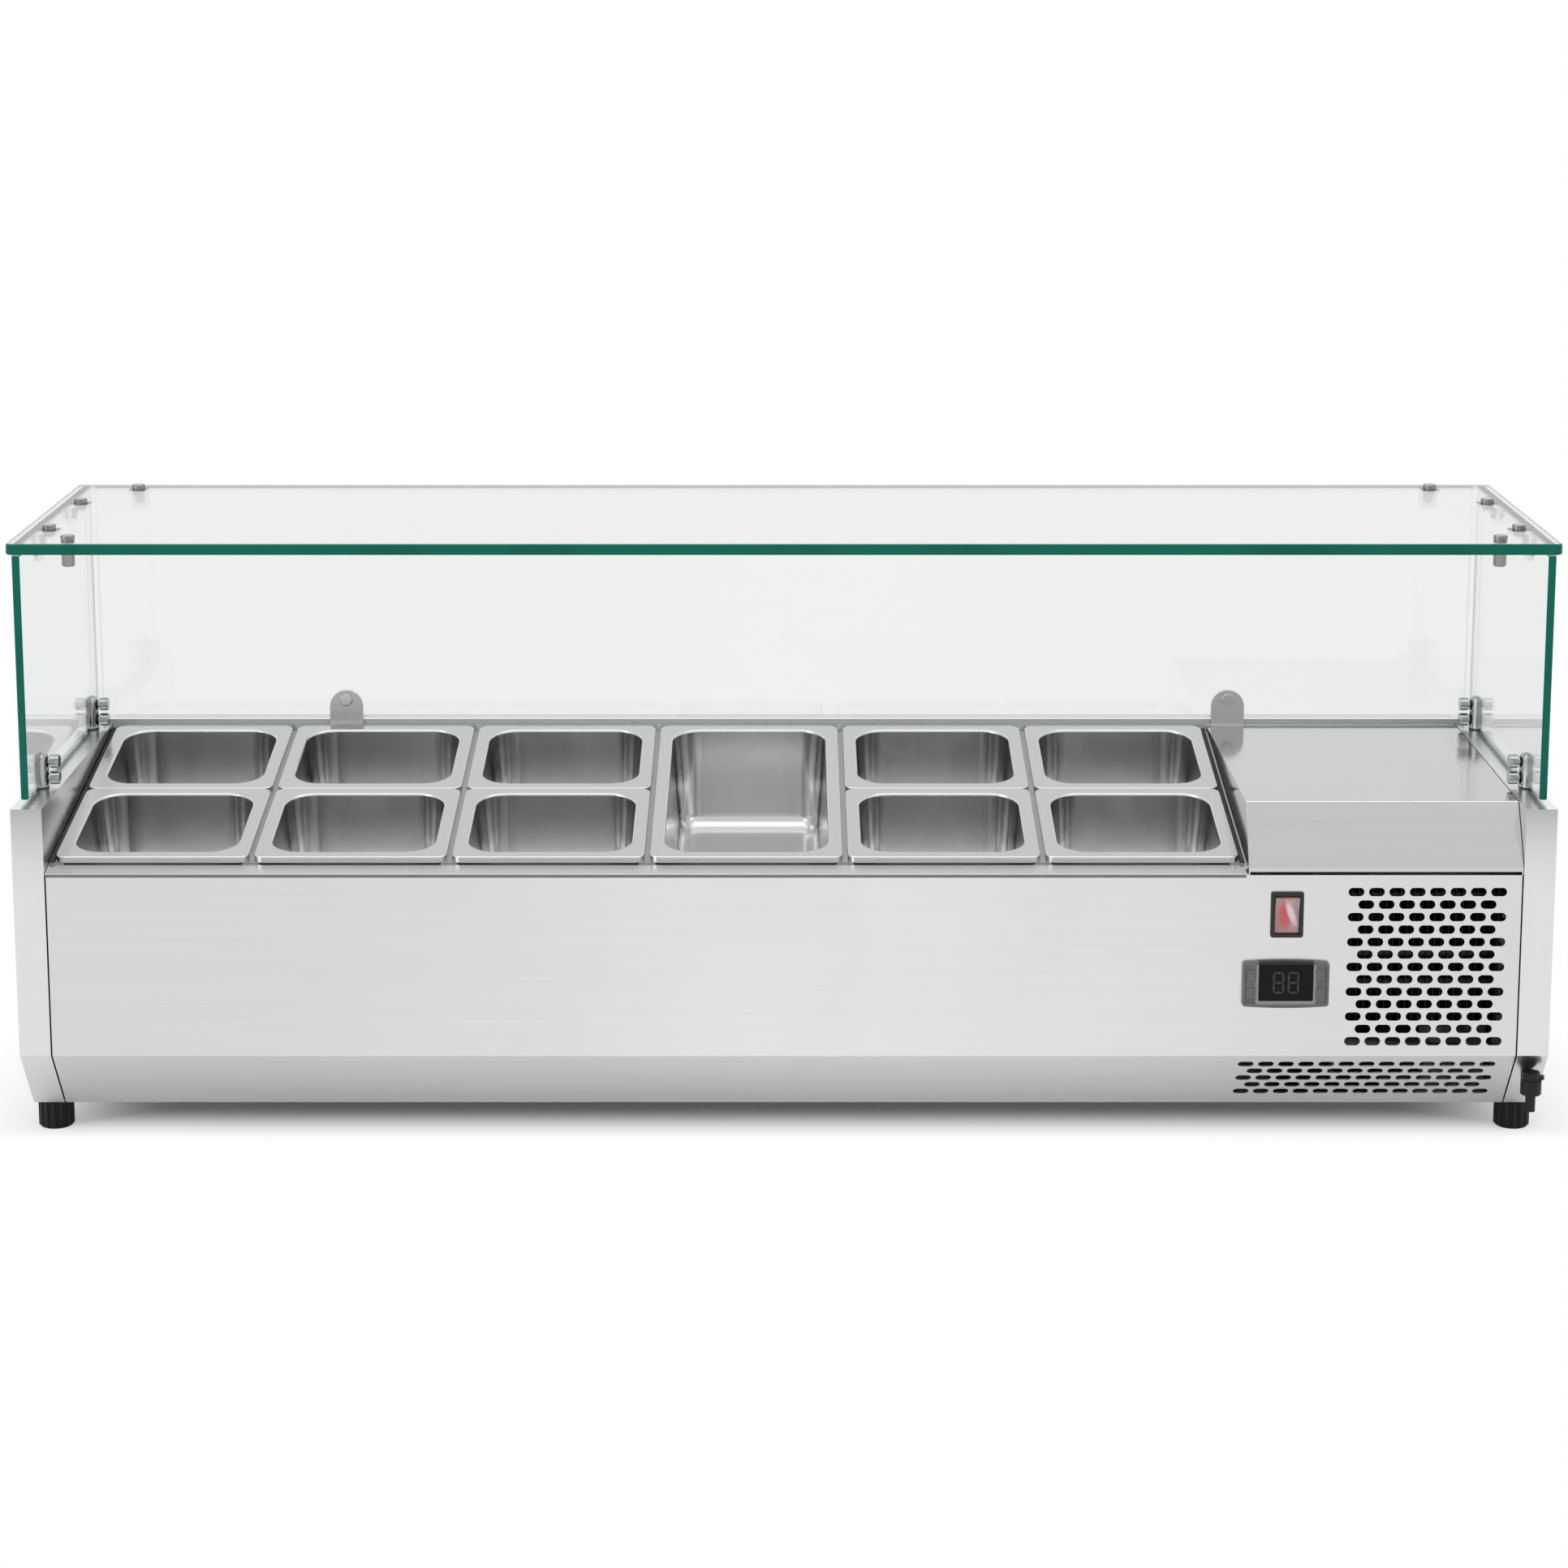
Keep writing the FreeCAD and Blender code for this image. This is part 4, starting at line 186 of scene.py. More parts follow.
class StationSizes(bpy.types.PropertyGroup):
    """Sizes of the fine pieces."""

    deck_tilt: angle("Deck tilt", "Slope of the deck under the pans", 8.8)
    side_seal: length("Side seal", "Height of the seals beside the rows of pans", 0.0019)
    seal_play: length("Seal play", "Room between a side seal and what stands beside it", 0.0006)
    rest_sheet: length("Rest sheet", "Sheet that the side seals lie on, above the deck", 0.0012)
    # The bead sized here carries the painted shade of the front seam.
    bead_height: length("Bead height", "Height of the bead between the deck and the front panel", 0.0023)
    bead_depth: length("Bead depth", "How far that bead stands out", 0.0006)
    corner_play: length("Corner play", "Room between a strip or bead and what it joins", 0.0001)
    corner_round: length("Corner round", "Rounding of a corner strip's long edges", 0.0009)
    # The flange fade is the reach of the painted shade below the end flanges' tops.
    flange_fade: length("Flange fade", "How far the end flanges darken below their tops", 0.088)
    lamp_side: length("Lamp side", "How far left of its middle the rocker lens shows its lamp", 0.002)
    lamp_wide: length("Lamp width", "Half the width of the lamp in the rocker lens", 0.009)
    lamp_high: length("Lamp height", "Half the height of the lamp in the rocker lens", 0.021)
    # Place and size of the painted highlight across the rocker lens.
    highlight_side: length("Highlight side", "How far right of its middle the lens shows a streak", 0.0035)
    highlight_rise: length("Highlight rise", "How far above its middle the lens shows a streak", 0.002)
    highlight_wide: length("Highlight width", "Half the width of the streak in the rocker lens", 0.0045)
    highlight_high: length("Highlight height", "Half the height of the streak in the rocker lens", 0.017)
    digit_height: length("Digit height", "Height of a numeral in the controller window", 0.0185)
    digit_width: length("Digit width", "Width of a numeral between the middles of its upright bars", 0.0085)
    digit_pitch: length("Digit pitch", "Distance from one numeral to the next", 0.0135)
    bar_width: length("Bar width", "Width of one bar of a numeral", 0.0022)
    bar_space: length("Bar space", "Space between two bars of a numeral", 0.0005)
    # The window edge is the width of a painted highlight round the controller window.
    window_highlight_width: length("Window edge", "Width of the paler edge round the controller window", 0.0036)
    film: length("Numeral film", "How far a numeral stands on the window", 0.00006)
    fine: length("Fine step", "Width over which a finish changes where it has a sharp end", 0.001)
    thread_pitch: length("Thread pitch", "Pitch of the foot studs' thread", 0.0015)
    thread_depth: length("Thread depth", "Depth of the foot studs' thread", 0.0009)
    thread_steps: IntProperty(
        name="Thread steps", description="Faces round one turn of thread", default=28, min=8
    )


class StationColours(bpy.types.PropertyGroup):
    """Colours of the finishes."""

    casing: colour("Casing steel", "Satin sheet of the casing", (0.75, 0.75, 0.75))
    # The rear lip's brighter colour is a painted highlight on the casing steel.
    lip: colour("Rear lip", "Brighter lip of the rear panel behind the pans", (0.93, 0.93, 0.93))
    end: colour("End steel", "Satin sheet of the end panels", (0.81, 0.81, 0.81))
    # The darker flange tops are painted shade on the end steel.
    end_top_shade: colour("End steel top", "Darker tops of the end panels' front flanges", (0.5, 0.5, 0.5))
    cover: colour("Cover steel", "Polished sheet of the machine cover", (0.64, 0.64, 0.64))
    well: colour("Well steel", "Sheet of the cold well", (0.68, 0.685, 0.685))
    # The bars' dark steel also stands in for the shade down the gaps between the pans.
    divider: colour("Divider steel", "Bars between the pans", (0.4, 0.4, 0.4))
    pan: colour("Pan steel", "Pressed sheet of the pans", (0.74, 0.74, 0.735))
    # The darker level faces of the pans are painted shade.
    pan_level_shade: colour("Pan rim", "Level faces of the pans", (0.64, 0.64, 0.635))
    bright: colour("Bright metal", "Plated clips", (0.78, 0.79, 0.79))
    bracket: colour("Bracket metal", "Brackets of the rear pane", (0.54, 0.545, 0.545))
    clamp: colour("Clamp metal", "Plated clamp pillars and their knobs", (0.42, 0.43, 0.43))
    bolt: colour("Bolt metal", "Plated bolts of the glass", (0.29, 0.295, 0.295))
    bracket_bolt: colour("Bracket bolt", "Bolts of the rear brackets", (0.52, 0.525, 0.525))
    pane: colour("Pane", "Glass seen through its faces", (0.855, 0.875, 0.868))
    pane_edge: colour("Pane edge", "Ground edge of a pane at the front", (0.003, 0.135, 0.092))
    pane_side: colour("Pane side edge", "Ground edge of a pane at its sides and back", (0.14, 0.26, 0.225))
    pane_inner: colour("Pane edge inside", "Ground edge seen through the glass", (0.62, 0.67, 0.65))
    # The side seals' black also stands in for the shade down the gaps beside the pans.
    seal: colour("Seal", "Gaskets under the clamps and seals beside the pans", (0.025, 0.028, 0.028))
    # The bead's dark colour is painted shade along the seam before the deck.
    shade_bead: colour("Bead", "Bead between the deck and the front panel", (0.17, 0.17, 0.172))
    silicone: colour("Silicone", "Clear strips that the panes stand on and meet in", (0.42, 0.44, 0.435))
    moulding: colour("Black moulding", "Switch frame, tap and gland", (0.007, 0.007, 0.0075))
    lens: colour("Rocker lens", "Clear lens of the rocker", (0.55, 0.35, 0.355))
    lens_red: colour("Rocker lens red", "Red lamp behind the lens", (0.68, 0.1, 0.1))
    # This pale colour is a painted highlight across the lens.
    lens_highlight: colour("Rocker lens pale", "Pale streak across the lens", (1.0, 0.8, 0.81))
    controller: colour("Controller frame", "Grey frame of the controller", (0.115, 0.116, 0.118))
    # The paler window edge is a painted highlight on the grey frame.
    controller_edge_highlight: colour("Window edge", "Paler edge beside and below the window", (0.26, 0.26, 0.265))
    key: colour("Keys", "Rubber keys of the controller", (0.12, 0.121, 0.123))
    window: colour("Window", "Smoked window of the controller", (0.004, 0.004, 0.0045))
    numeral: colour("Numeral", "Unlit bars on the window", (0.021, 0.021, 0.021))
    rubber: colour("Foot rubber", "Fluted foot pads", (0.005, 0.005, 0.005))
    zinc: colour("Zinc", "Plated studs", (0.6, 0.61, 0.62))
    copper: colour("Copper", "Drawn tube of the cold circuit", (0.72, 0.36, 0.22))
    tarnish: colour("Tarnish", "Dull patches on the copper", (0.22, 0.1, 0.06))
    hose: colour("Hose", "Drain pipe", (0.2, 0.2, 0.2))
    foam: colour("Foam", "Insulation between the skins", (0.03, 0.03, 0.031))
    paint: colour("Machine paint", "Paint of the compressor and motor", (0.012, 0.012, 0.013))
    fin: colour("Fins", "Condenser plates and fins", (0.05, 0.05, 0.052))
    blade: colour("Blades", "Moulded fan", (0.02, 0.02, 0.022))


class StationStudio(bpy.types.PropertyGroup):
    """Camera, floor and light."""

    lens: FloatProperty(name="Lens", description="Focal length", default=81.8, min=10.0, unit="CAMERA")
    stand_off: length("Stand-off", "How far the camera stands in front of the middle", 3.322)
    eye_height: length("Eye height", "Height of the camera above the floor", 1.113)
    tilt: angle("Tilt", "How far the camera looks down", 10.51)
    rise: FloatProperty(name="Frame shift", description="Upward shift of the frame", default=-0.13)
    floor_size: length("Floor", "Width of the studio floor", 30.0)
    floor_tone: amount("Floor tone", "How pale the floor is", 0.8, 1.0)
    shadow_inset: length("Shadow inset", "How far inside the footprint the shadow starts to fade", 0.122)
    shadow_reach: length("Shadow reach", "Over what distance the shadow fades towards the front", 0.1)
    shadow_spill: length("Shadow spill", "Over what distance the shadow fades elsewhere", 0.24)
    mirror_reach: length("Mirrored reach", "Over what distance the mirrored shadow fades", 0.23)
    glow_side: length("Glow side", "How far right of the middle the floor before the casing glows", 0.05)
    glow_reach: length("Glow reach", "Over what distance the glow fades to each side", 0.66)
    glow_peak: amount("Glow peak", "Brightness of the glow, mirrored in metal", 1.085)
    glow_edge: amount("Glow edge", "Brightness of the floor beside the glow, mirrored in metal", 0.95)
    sky: amount("Sky", "Light from all round", 0.85)
    front_tone: amount("Front tone", "How bright the studio is behind the camera", 0.74, 1.0)
    top_power: power("Top lamp", "Overhead lamp", 12.0)
    side_power: power("Side lamp", "Lamp at the left front", 8.0)


def sizes():
    """The sizes that this scene is built with."""
    return bpy.context.scene.station_sizes


def colours():
    """The colours that this scene is built with."""
    return bpy.context.scene.station_colours


def studio():
    """The camera, floor and light that this scene is built with."""
    return bpy.context.scene.station_studio


def node(tree, kind, **settings):
    """A shader node with its settings."""
    made = tree.nodes.new("ShaderNode" + kind)
    for key, value in settings.items():
        setattr(made, key, value)
    return made


def effect(name, inputs, outputs):
    """An empty node group with named sockets, its entry and its exit."""
    tree = bpy.data.node_groups.new(name, "ShaderNodeTree")
    for label, kind, value in inputs:
        socket = tree.interface.new_socket(label, in_out="INPUT", socket_type=kind)
        if value is not None:
            socket.default_value = value
    for label in outputs:
        tree.interface.new_socket(label, in_out="OUTPUT", socket_type="NodeSocketFloat")
    return tree, tree.nodes.new("NodeGroupInput"), tree.nodes.new("NodeGroupOutput")


def spread(tree, source, low, high, new_low=0.0, new_high=1.0, smooth=False):
    """A value moved from one range into another."""
    made = node(tree, "MapRange", interpolation_type="SMOOTHSTEP" if smooth else "LINEAR")
    made.inputs["From Min"].default_value = low
    made.inputs["From Max"].default_value = high
    made.inputs["To Min"].default_value = new_low
    made.inputs["To Max"].default_value = new_high
    tree.links.new(source, made.inputs["Value"])
    return made.outputs["Result"]


def combine(tree, how, first, second):
    """Two values put together."""
    made = node(tree, "Math", operation=how)
    for socket, value in zip(made.inputs, (first, second)):
        if isinstance(value, (int, float)):
            socket.default_value = value
        else:
            tree.links.new(value, socket)
    return made.outputs["Value"]


def noise(tree, vector, scale, detail):
    """Soft noise along a vector."""
    made = node(tree, "TexNoise")
    made.inputs["Scale"].default_value = scale
    made.inputs["Detail"].default_value = detail
    tree.links.new(vector, made.inputs["Vector"])
    return made.outputs["Fac"]


def show_mix(tree, output, mask, first, second):
    """Puts two shaders, mixed by a mask, on a tree's output."""
    mix = node(tree, "MixShader")
    tree.links.new(mask, mix.inputs["Fac"])
    tree.links.new(first, mix.inputs[1])
    tree.links.new(second, mix.inputs[2])
    tree.links.new(mix.outputs["Shader"], tree.nodes[output].inputs["Surface"])


def build_grain():
    """Fine and broad streaks, for sheet and ground edges."""
    tree, entry, leave = effect("Brushed grain", [("Vector", "NodeSocketVector", None)], ["Grain"])
    vector = entry.outputs["Vector"]
    fine = combine(tree, "MULTIPLY", noise(tree, vector, scale=1.0, detail=2.0), GRAIN_FINE_SHARE)
    broad = combine(tree, "MULTIPLY", noise(tree, vector, scale=0.17, detail=3.0), 1.0 - GRAIN_FINE_SHARE)
    tree.links.new(combine(tree, "ADD", fine, broad), leave.inputs["Grain"])


def build_smudges():
    """Cloudy patches that wiping leaves, for metal and glass."""
    inputs = [("Vector", "NodeSocketVector", None), ("Scale", "NodeSocketFloat", 9.0)]
    tree, entry, leave = effect("Wiped smudges", inputs, ["Mask"])
    cloud = node(tree, "TexNoise")
    cloud.inputs["Detail"].default_value = 5.0
    cloud.inputs["Distortion"].default_value = 0.6
    tree.links.new(entry.outputs["Vector"], cloud.inputs["Vector"])
    tree.links.new(entry.outputs["Scale"], cloud.inputs["Scale"])
    mask = spread(tree, cloud.outputs["Fac"], SMUDGE_STARTS, SMUDGE_FULL, smooth=True)
    tree.links.new(mask, leave.inputs["Mask"])


def build_pebble():
    """Fine bumps and a soft mottle, for mouldings and rubber."""
    inputs = [("Vector", "NodeSocketVector", None), ("Scale", "NodeSocketFloat", 1500.0)]
    tree, entry, leave = effect("Moulded pebble", inputs, ["Height", "Mottle"])
    cells = node(tree, "TexVoronoi", feature="SMOOTH_F1")
    tree.links.new(entry.outputs["Vector"], cells.inputs["Vector"])
    tree.links.new(entry.outputs["Scale"], cells.inputs["Scale"])
    tree.links.new(cells.outputs["Distance"], leave.inputs["Height"])
    mottle = noise(tree, entry.outputs["Vector"], scale=60.0, detail=4.0)
    tree.links.new(mottle, leave.inputs["Mottle"])


class Finish:
    """One material, with the sockets that its effects reach."""

    def __init__(self, name, tone):
        self.material = bpy.data.materials.new(name)
        self.material.use_nodes = True
        self.tree = self.material.node_tree
        self.shader = self.tree.nodes["Principled BSDF"]
        self.place = node(self.tree, "TexCoord")
        self.tone = tuple(tone)
        self.shader.inputs["Base Color"].default_value = (*tone, 1.0)

    def set(self, **values):
        """Plain values straight on the shader's sockets."""
        for label, value in values.items():
            self.shader.inputs[label.replace("_", " ").title().replace("Ior", "IOR")].default_value = value
        return self

    def join(self, source, target):
        """A link from one socket to another."""
        self.tree.links.new(source, target)

    def split(self, source, axis):
        """One axis of the surface's place or of its facing."""
        made = node(self.tree, "SeparateXYZ")
        self.join(self.place.outputs[source], made.inputs["Vector"])
        return made.outputs[axis]

    def facing(self, axis, sign):
        """One on faces that look along an axis, none on the others."""
        return spread(self.tree, self.split("Normal", axis), sign * FACING_STARTS, sign * FACING_FULL)

    def stretched(self, scale):
        """Object coordinates, stretched so that a pattern runs along one of them."""
        turn = node(self.tree, "Mapping")
        turn.inputs["Scale"].default_value = scale
        self.join(self.place.outputs["Object"], turn.inputs["Vector"])
        return turn.outputs["Vector"]

    def reckon(self, how, source, value=None):
        """One step of vector arithmetic, as the sockets of its results."""
        made = node(self.tree, "VectorMath", operation=how)
        self.join(source, made.inputs[0])
        if value is not None:
            made.inputs[1].default_value = value
        return made.outputs

    def outside(self, middle, half):
        """How far a point of the surface lies outside a box."""
        shifted = self.reckon("SUBTRACT", self.place.outputs["Object"], middle)["Vector"]
        side = self.reckon("ABSOLUTE", shifted)["Vector"]
        past = self.reckon("SUBTRACT", side, half)["Vector"]
        beyond = self.reckon("MAXIMUM", past)["Vector"]
        return self.reckon("LENGTH", beyond)["Value"]

    def use(self, effect_name, vector, **values):
        """A shared effect, placed with its own values."""
        made = node(self.tree, "Group", node_tree=bpy.data.node_groups[effect_name])
        self.join(vector, made.inputs["Vector"])
        for label, value in values.items():
            made.inputs[label].default_value = value
        return made.outputs

    def grain(self, run):
        """The mask of a brushed grain."""
        return self.use("Brushed grain", self.stretched(run))["Grain"]

    def smudges(self, scale):
        """The mask of wiped smudges, smaller with a larger scale."""
        return self.use("Wiped smudges", self.place.outputs["Object"], Scale=scale)["Mask"]

    def shade(self, mask, low, high):
        """The base colour, darker and lighter by a mask."""
        first = [part * low for part in self.tone]
        second = [min(1.0, part * high) for part in self.tone]
        return self.blend(mask, first, second)

    def blend(self, mask, first, second):
        """The base colour, blended between two by a mask."""
        mix = node(self.tree, "Mix", data_type="RGBA")
        self.join(mask, mix.inputs["Factor"])
        mix.inputs[MIX_A].default_value = (*first, 1.0)
        mix.inputs[MIX_B].default_value = (*second, 1.0)
        self.join(mix.outputs[MIX_RESULT], self.shader.inputs["Base Color"])
        return self

    def over(self, mask, tone):
        """Another colour laid over the base colour by a mask."""
        base = self.shader.inputs["Base Color"]
        mix = node(self.tree, "Mix", data_type="RGBA")
        self.join(mask, mix.inputs["Factor"])
        mix.inputs[MIX_A].default_value = base.default_value
        if base.is_linked:
            self.join(base.links[0].from_socket, mix.inputs[MIX_A])
        mix.inputs[MIX_B].default_value = (*tone, 1.0)
        self.join(mix.outputs[MIX_RESULT], base)
        return self

    def rough(self, *parts):
        """Roughness as a sum of masks, each with the range that it spans."""
        total = None
        for mask, low, high in parts:
            share = spread(self.tree, mask, 0.0, 1.0, low, high)
            total = share if total is None else combine(self.tree, "ADD", total, share)
        self.join(total, self.shader.inputs["Roughness"])
        return self

    def raised(self, height, strength, distance):
        """A bump on the surface."""
        bump = node(self.tree, "Bump")
        bump.inputs["Strength"].default_value = strength
        bump.inputs["Distance"].default_value = distance
        self.join(height, bump.inputs["Height"])
        self.join(bump.outputs["Normal"], self.shader.inputs["Normal"])
        return self

    def on(self, *names):
        """This finish on CAD nodes."""
        for name in names:
            for place in frame["nodes"][name].material_slots:
                place.material = self.material
        return self


def sheet_metal(
    name, tone, rough, run, bump=0.05, smudge=0.06, scale=7.0, shades=(0.93, 1.06), depth=0.0002
):
    """Brushed sheet with its grain along one direction and faint wiped marks."""
    finish = Finish(name, tone).set(metallic=1.0)
    grain = finish.grain(run)
    finish.shade(grain, *shades)
    finish.rough((grain, *rough), (finish.smudges(scale), 0.0, smudge))
    return finish.raised(grain, bump, depth)


def plated(name, tone, rough, scale=40.0, shades=(1.04, 0.9)):
    """Bright plating with faint haze."""
    finish = Finish(name, tone).set(metallic=1.0)
    haze = finish.smudges(scale)
    finish.shade(haze, *shades)
    return finish.rough((haze, *rough))


def moulded(name, tone, rough, pebble=1500.0, bump=0.15, shine=0.5, shades=(0.85, 1.25), depth=0.00015):
    """Moulded plastic or rubber with a fine pebble."""
    finish = Finish(name, tone)
    surface = finish.use("Moulded pebble", finish.place.outputs["Object"], Scale=pebble)
    finish.shade(surface["Mottle"], *shades).set(specular_ior_level=shine)
    finish.rough((surface["Mottle"], *rough))
    return finish.raised(surface["Height"], bump, depth)


def clear_glass(name, tone, scale=5.0, shades=(1.0, 0.99), rough=(0.0, 0.012)):
    """Float glass with a faint wiped haze, which lets light through to what stands behind it."""
    finish = Finish(name, tone).set(transmission_weight=1.0, ior=1.5)
    haze = finish.smudges(scale)
    finish.shade(haze, *shades)
    finish.rough((haze, *rough))
    shadow = node(finish.tree, "LightPath").outputs["Is Shadow Ray"]
    clear = node(finish.tree, "BsdfTransparent")
    clear.inputs["Color"].default_value = (*tone, 1.0)
    glass = finish.shader.outputs["BSDF"]
    show_mix(finish.tree, "Material Output", shadow, glass, clear.outputs["BSDF"])
    return finish


def ground_edge(
    name, tone, shades=(0.8, 1.2), ripple=14.0, share=0.35, darker=0.45, rough=(0.12, 0.3)
):
    """The ground edge of a pane, deep green at the front, paler elsewhere and palest from inside."""
    finish = Finish(name, tone.pane_side).set(specular_ior_level=0.12)
    depth = finish.grain(GRAIN_CLOUDY)
    finish.shade(depth, *shades)
    front = spread(finish.tree, finish.split("Normal", "Y"), FRONT_STARTS, FRONT_FULL)
    finish.over(front, tone.pane_edge)
    streaks = combine(finish.tree, "MULTIPLY", finish.smudges(ripple), share)
    finish.over(streaks, [part * darker for part in tone.pane_edge])
    finish.over(node(finish.tree, "NewGeometry").outputs["Backfacing"], tone.pane_inner)
    return finish.rough((depth, *rough))


def deselect():
    """Nothing selected, in object mode."""
    if bpy.context.object and bpy.context.object.mode != "OBJECT":
        bpy.ops.object.mode_set(mode="OBJECT")
    bpy.ops.object.select_all(action="DESELECT")


def pick(piece, test):
    """Selects the corners of a piece in edit mode that pass a test."""
    mesh = bmesh.from_edit_mesh(piece.data)
    for corner in mesh.verts:
        corner.select_set(test(corner.co))
    mesh.select_flush_mode()
    bmesh.update_edit_mesh(piece.data)


def choose(piece):
    """Selects one piece alone and makes it the active one."""
    deselect()
    piece.select_set(True)
    bpy.context.view_layer.objects.active = piece


def settle(piece):
    """Puts a piece's place into its mesh, so that its object sits at the origin."""
    choose(piece)
    bpy.ops.object.transform_apply(location=True, rotation=True, scale=True)


def twin(piece, name):
    """A copy of a piece with a mesh of its own."""
    choose(piece)
    bpy.ops.object.duplicate(linked=False)
    made = bpy.context.object
    made.name = name
    return made


def face_outwards():
    """Turns all faces of the piece in edit mode outwards, and leaves that mode."""
    bpy.ops.mesh.select_all(action="SELECT")
    bpy.ops.mesh.normals_make_consistent(inside=False)
    bpy.ops.object.mode_set(mode="OBJECT")


def rounded_strip(name, size, place, test, reach, steps):
    """A strip at a place, rounded at the edges whose two ends pass a test."""
    deselect()
    bpy.ops.mesh.primitive_cube_add(size=1.0)
    made = bpy.context.object
    made.name = name
    made.scale = size
    made.location = place
    settle(made)
    bpy.ops.object.mode_set(mode="EDIT")
    bpy.ops.mesh.select_mode(type="EDGE")
    bpy.ops.mesh.select_all(action="DESELECT")
    mesh = bmesh.from_edit_mesh(made.data)
    for edge in mesh.edges:
        first, second = edge.verts
        if test(first.co, second.co):
            edge.select_set(True)
    bmesh.update_edit_mesh(made.data)
    bpy.ops.mesh.bevel(offset=reach, segments=steps, affect="EDGES")
    bpy.ops.mesh.select_mode(type="VERT")
    face_outwards()
    return made


def copy_of(piece, name, place, turn=0.0):
    """A copy of a piece, moved and turned about the line of sight."""
    made = twin(piece, name)
    made.rotation_euler = (0.0, turn, 0.0)
    made.location = place
    settle(made)
    return made


def merge(pieces, name):
    """Several pieces joined into one."""
    deselect()
    for piece in pieces:
        piece.select_set(True)
    bpy.context.view_layer.objects.active = pieces[0]
    bpy.ops.object.join()
    made = bpy.context.object
    made.name = name
    return made


class STATION_OT_sheet_steel(bpy.types.Operator):
    """Puts the casing, cold well and pans in their steels"""

    bl_idname = "station.sheet_steel"
    bl_label = "Sheet steel"

    def execute(self, context):
        tone = colours()
        self.casing(tone)
        self.ends(tone)
        cover = sheet_metal(
            "Cover polish", tone.cover, rough=(0.07, 0.14), run=GRAIN_LEVEL, bump=0.02, smudge=0.04
        )
        cover.on("machine_cover")
        well = sheet_metal("Well satin", tone.well, rough=(0.24, 0.36), run=GRAIN_LEVEL)
        well.on("well_frame", "well_liner")
        # The divider bars' dark steel is partly painted shade for the gaps between the pans.
        divider = sheet_metal("Divider satin", tone.divider, rough=(0.24, 0.36), run=GRAIN_LEVEL)
        divider.on("divider_bars")
        self.pans(tone)
        return {"FINISHED"}

    def casing(self, tone):
        """Sheet with a level grain, and a painted highlight that makes the rear panel's lip brighter."""
        finish = sheet_metal("Casing satin", tone.casing, rough=(0.24, 0.34), run=GRAIN_LEVEL)
        # Painted highlight: the rear panel's front-facing lip behind the pans is painted brighter.
        behind = spread(finish.tree, finish.split("Object", "Y"), 0.0, sizes().fine)
        lip = combine(finish.tree, "MULTIPLY", behind, finish.facing("Y", -1.0))
        finish.over(lip, tone.lip).on("front_panel", "rear_panel", "base_plate", "bay_partition")

    def ends(self, tone):
        """Sheet with an upright grain, its front flanges darker towards their tops by painted shade."""
        finish = sheet_metal("End panel satin", tone.end, rough=(0.2, 0.3), run=GRAIN_UPRIGHT)
        tree = finish.tree
        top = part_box("left_end_panel")[1].z
        # Painted shade: the front flanges darken towards their tops.
        rise = spread(tree, finish.split("Object", "Z"), top - sizes().flange_fade, top)
        fade = combine(tree, "POWER", rise, FLANGE_CURVE)
        upper = combine(tree, "MULTIPLY", fade, finish.facing("Y", -1.0))
        finish.over(upper, tone.end_top_shade).on("left_end_panel", "right_end_panel")

    def pans(self, tone):
        """Pressed sheet, drawn upwards, with the soft ripple that pressing leaves and painted shade on its
        level faces.
        """
        finish = Finish("Pressed pan", tone.pan).set(metallic=1.0)
        drawn = finish.grain(GRAIN_DRAWN)
        ripple = finish.smudges(scale=16.0)
        # Painted shade: faces of the pans that look upwards take the darker colour.
        finish.shade(drawn, low=0.95, high=1.04).over(finish.facing("Z", 1.0), tone.pan_level_shade)
        finish.rough((drawn, 0.15, 0.2), (ripple, 0.0, 0.05))
        finish.raised(ripple, strength=0.06, distance=0.0006).on("third_pan", *SIXTH_PANS)


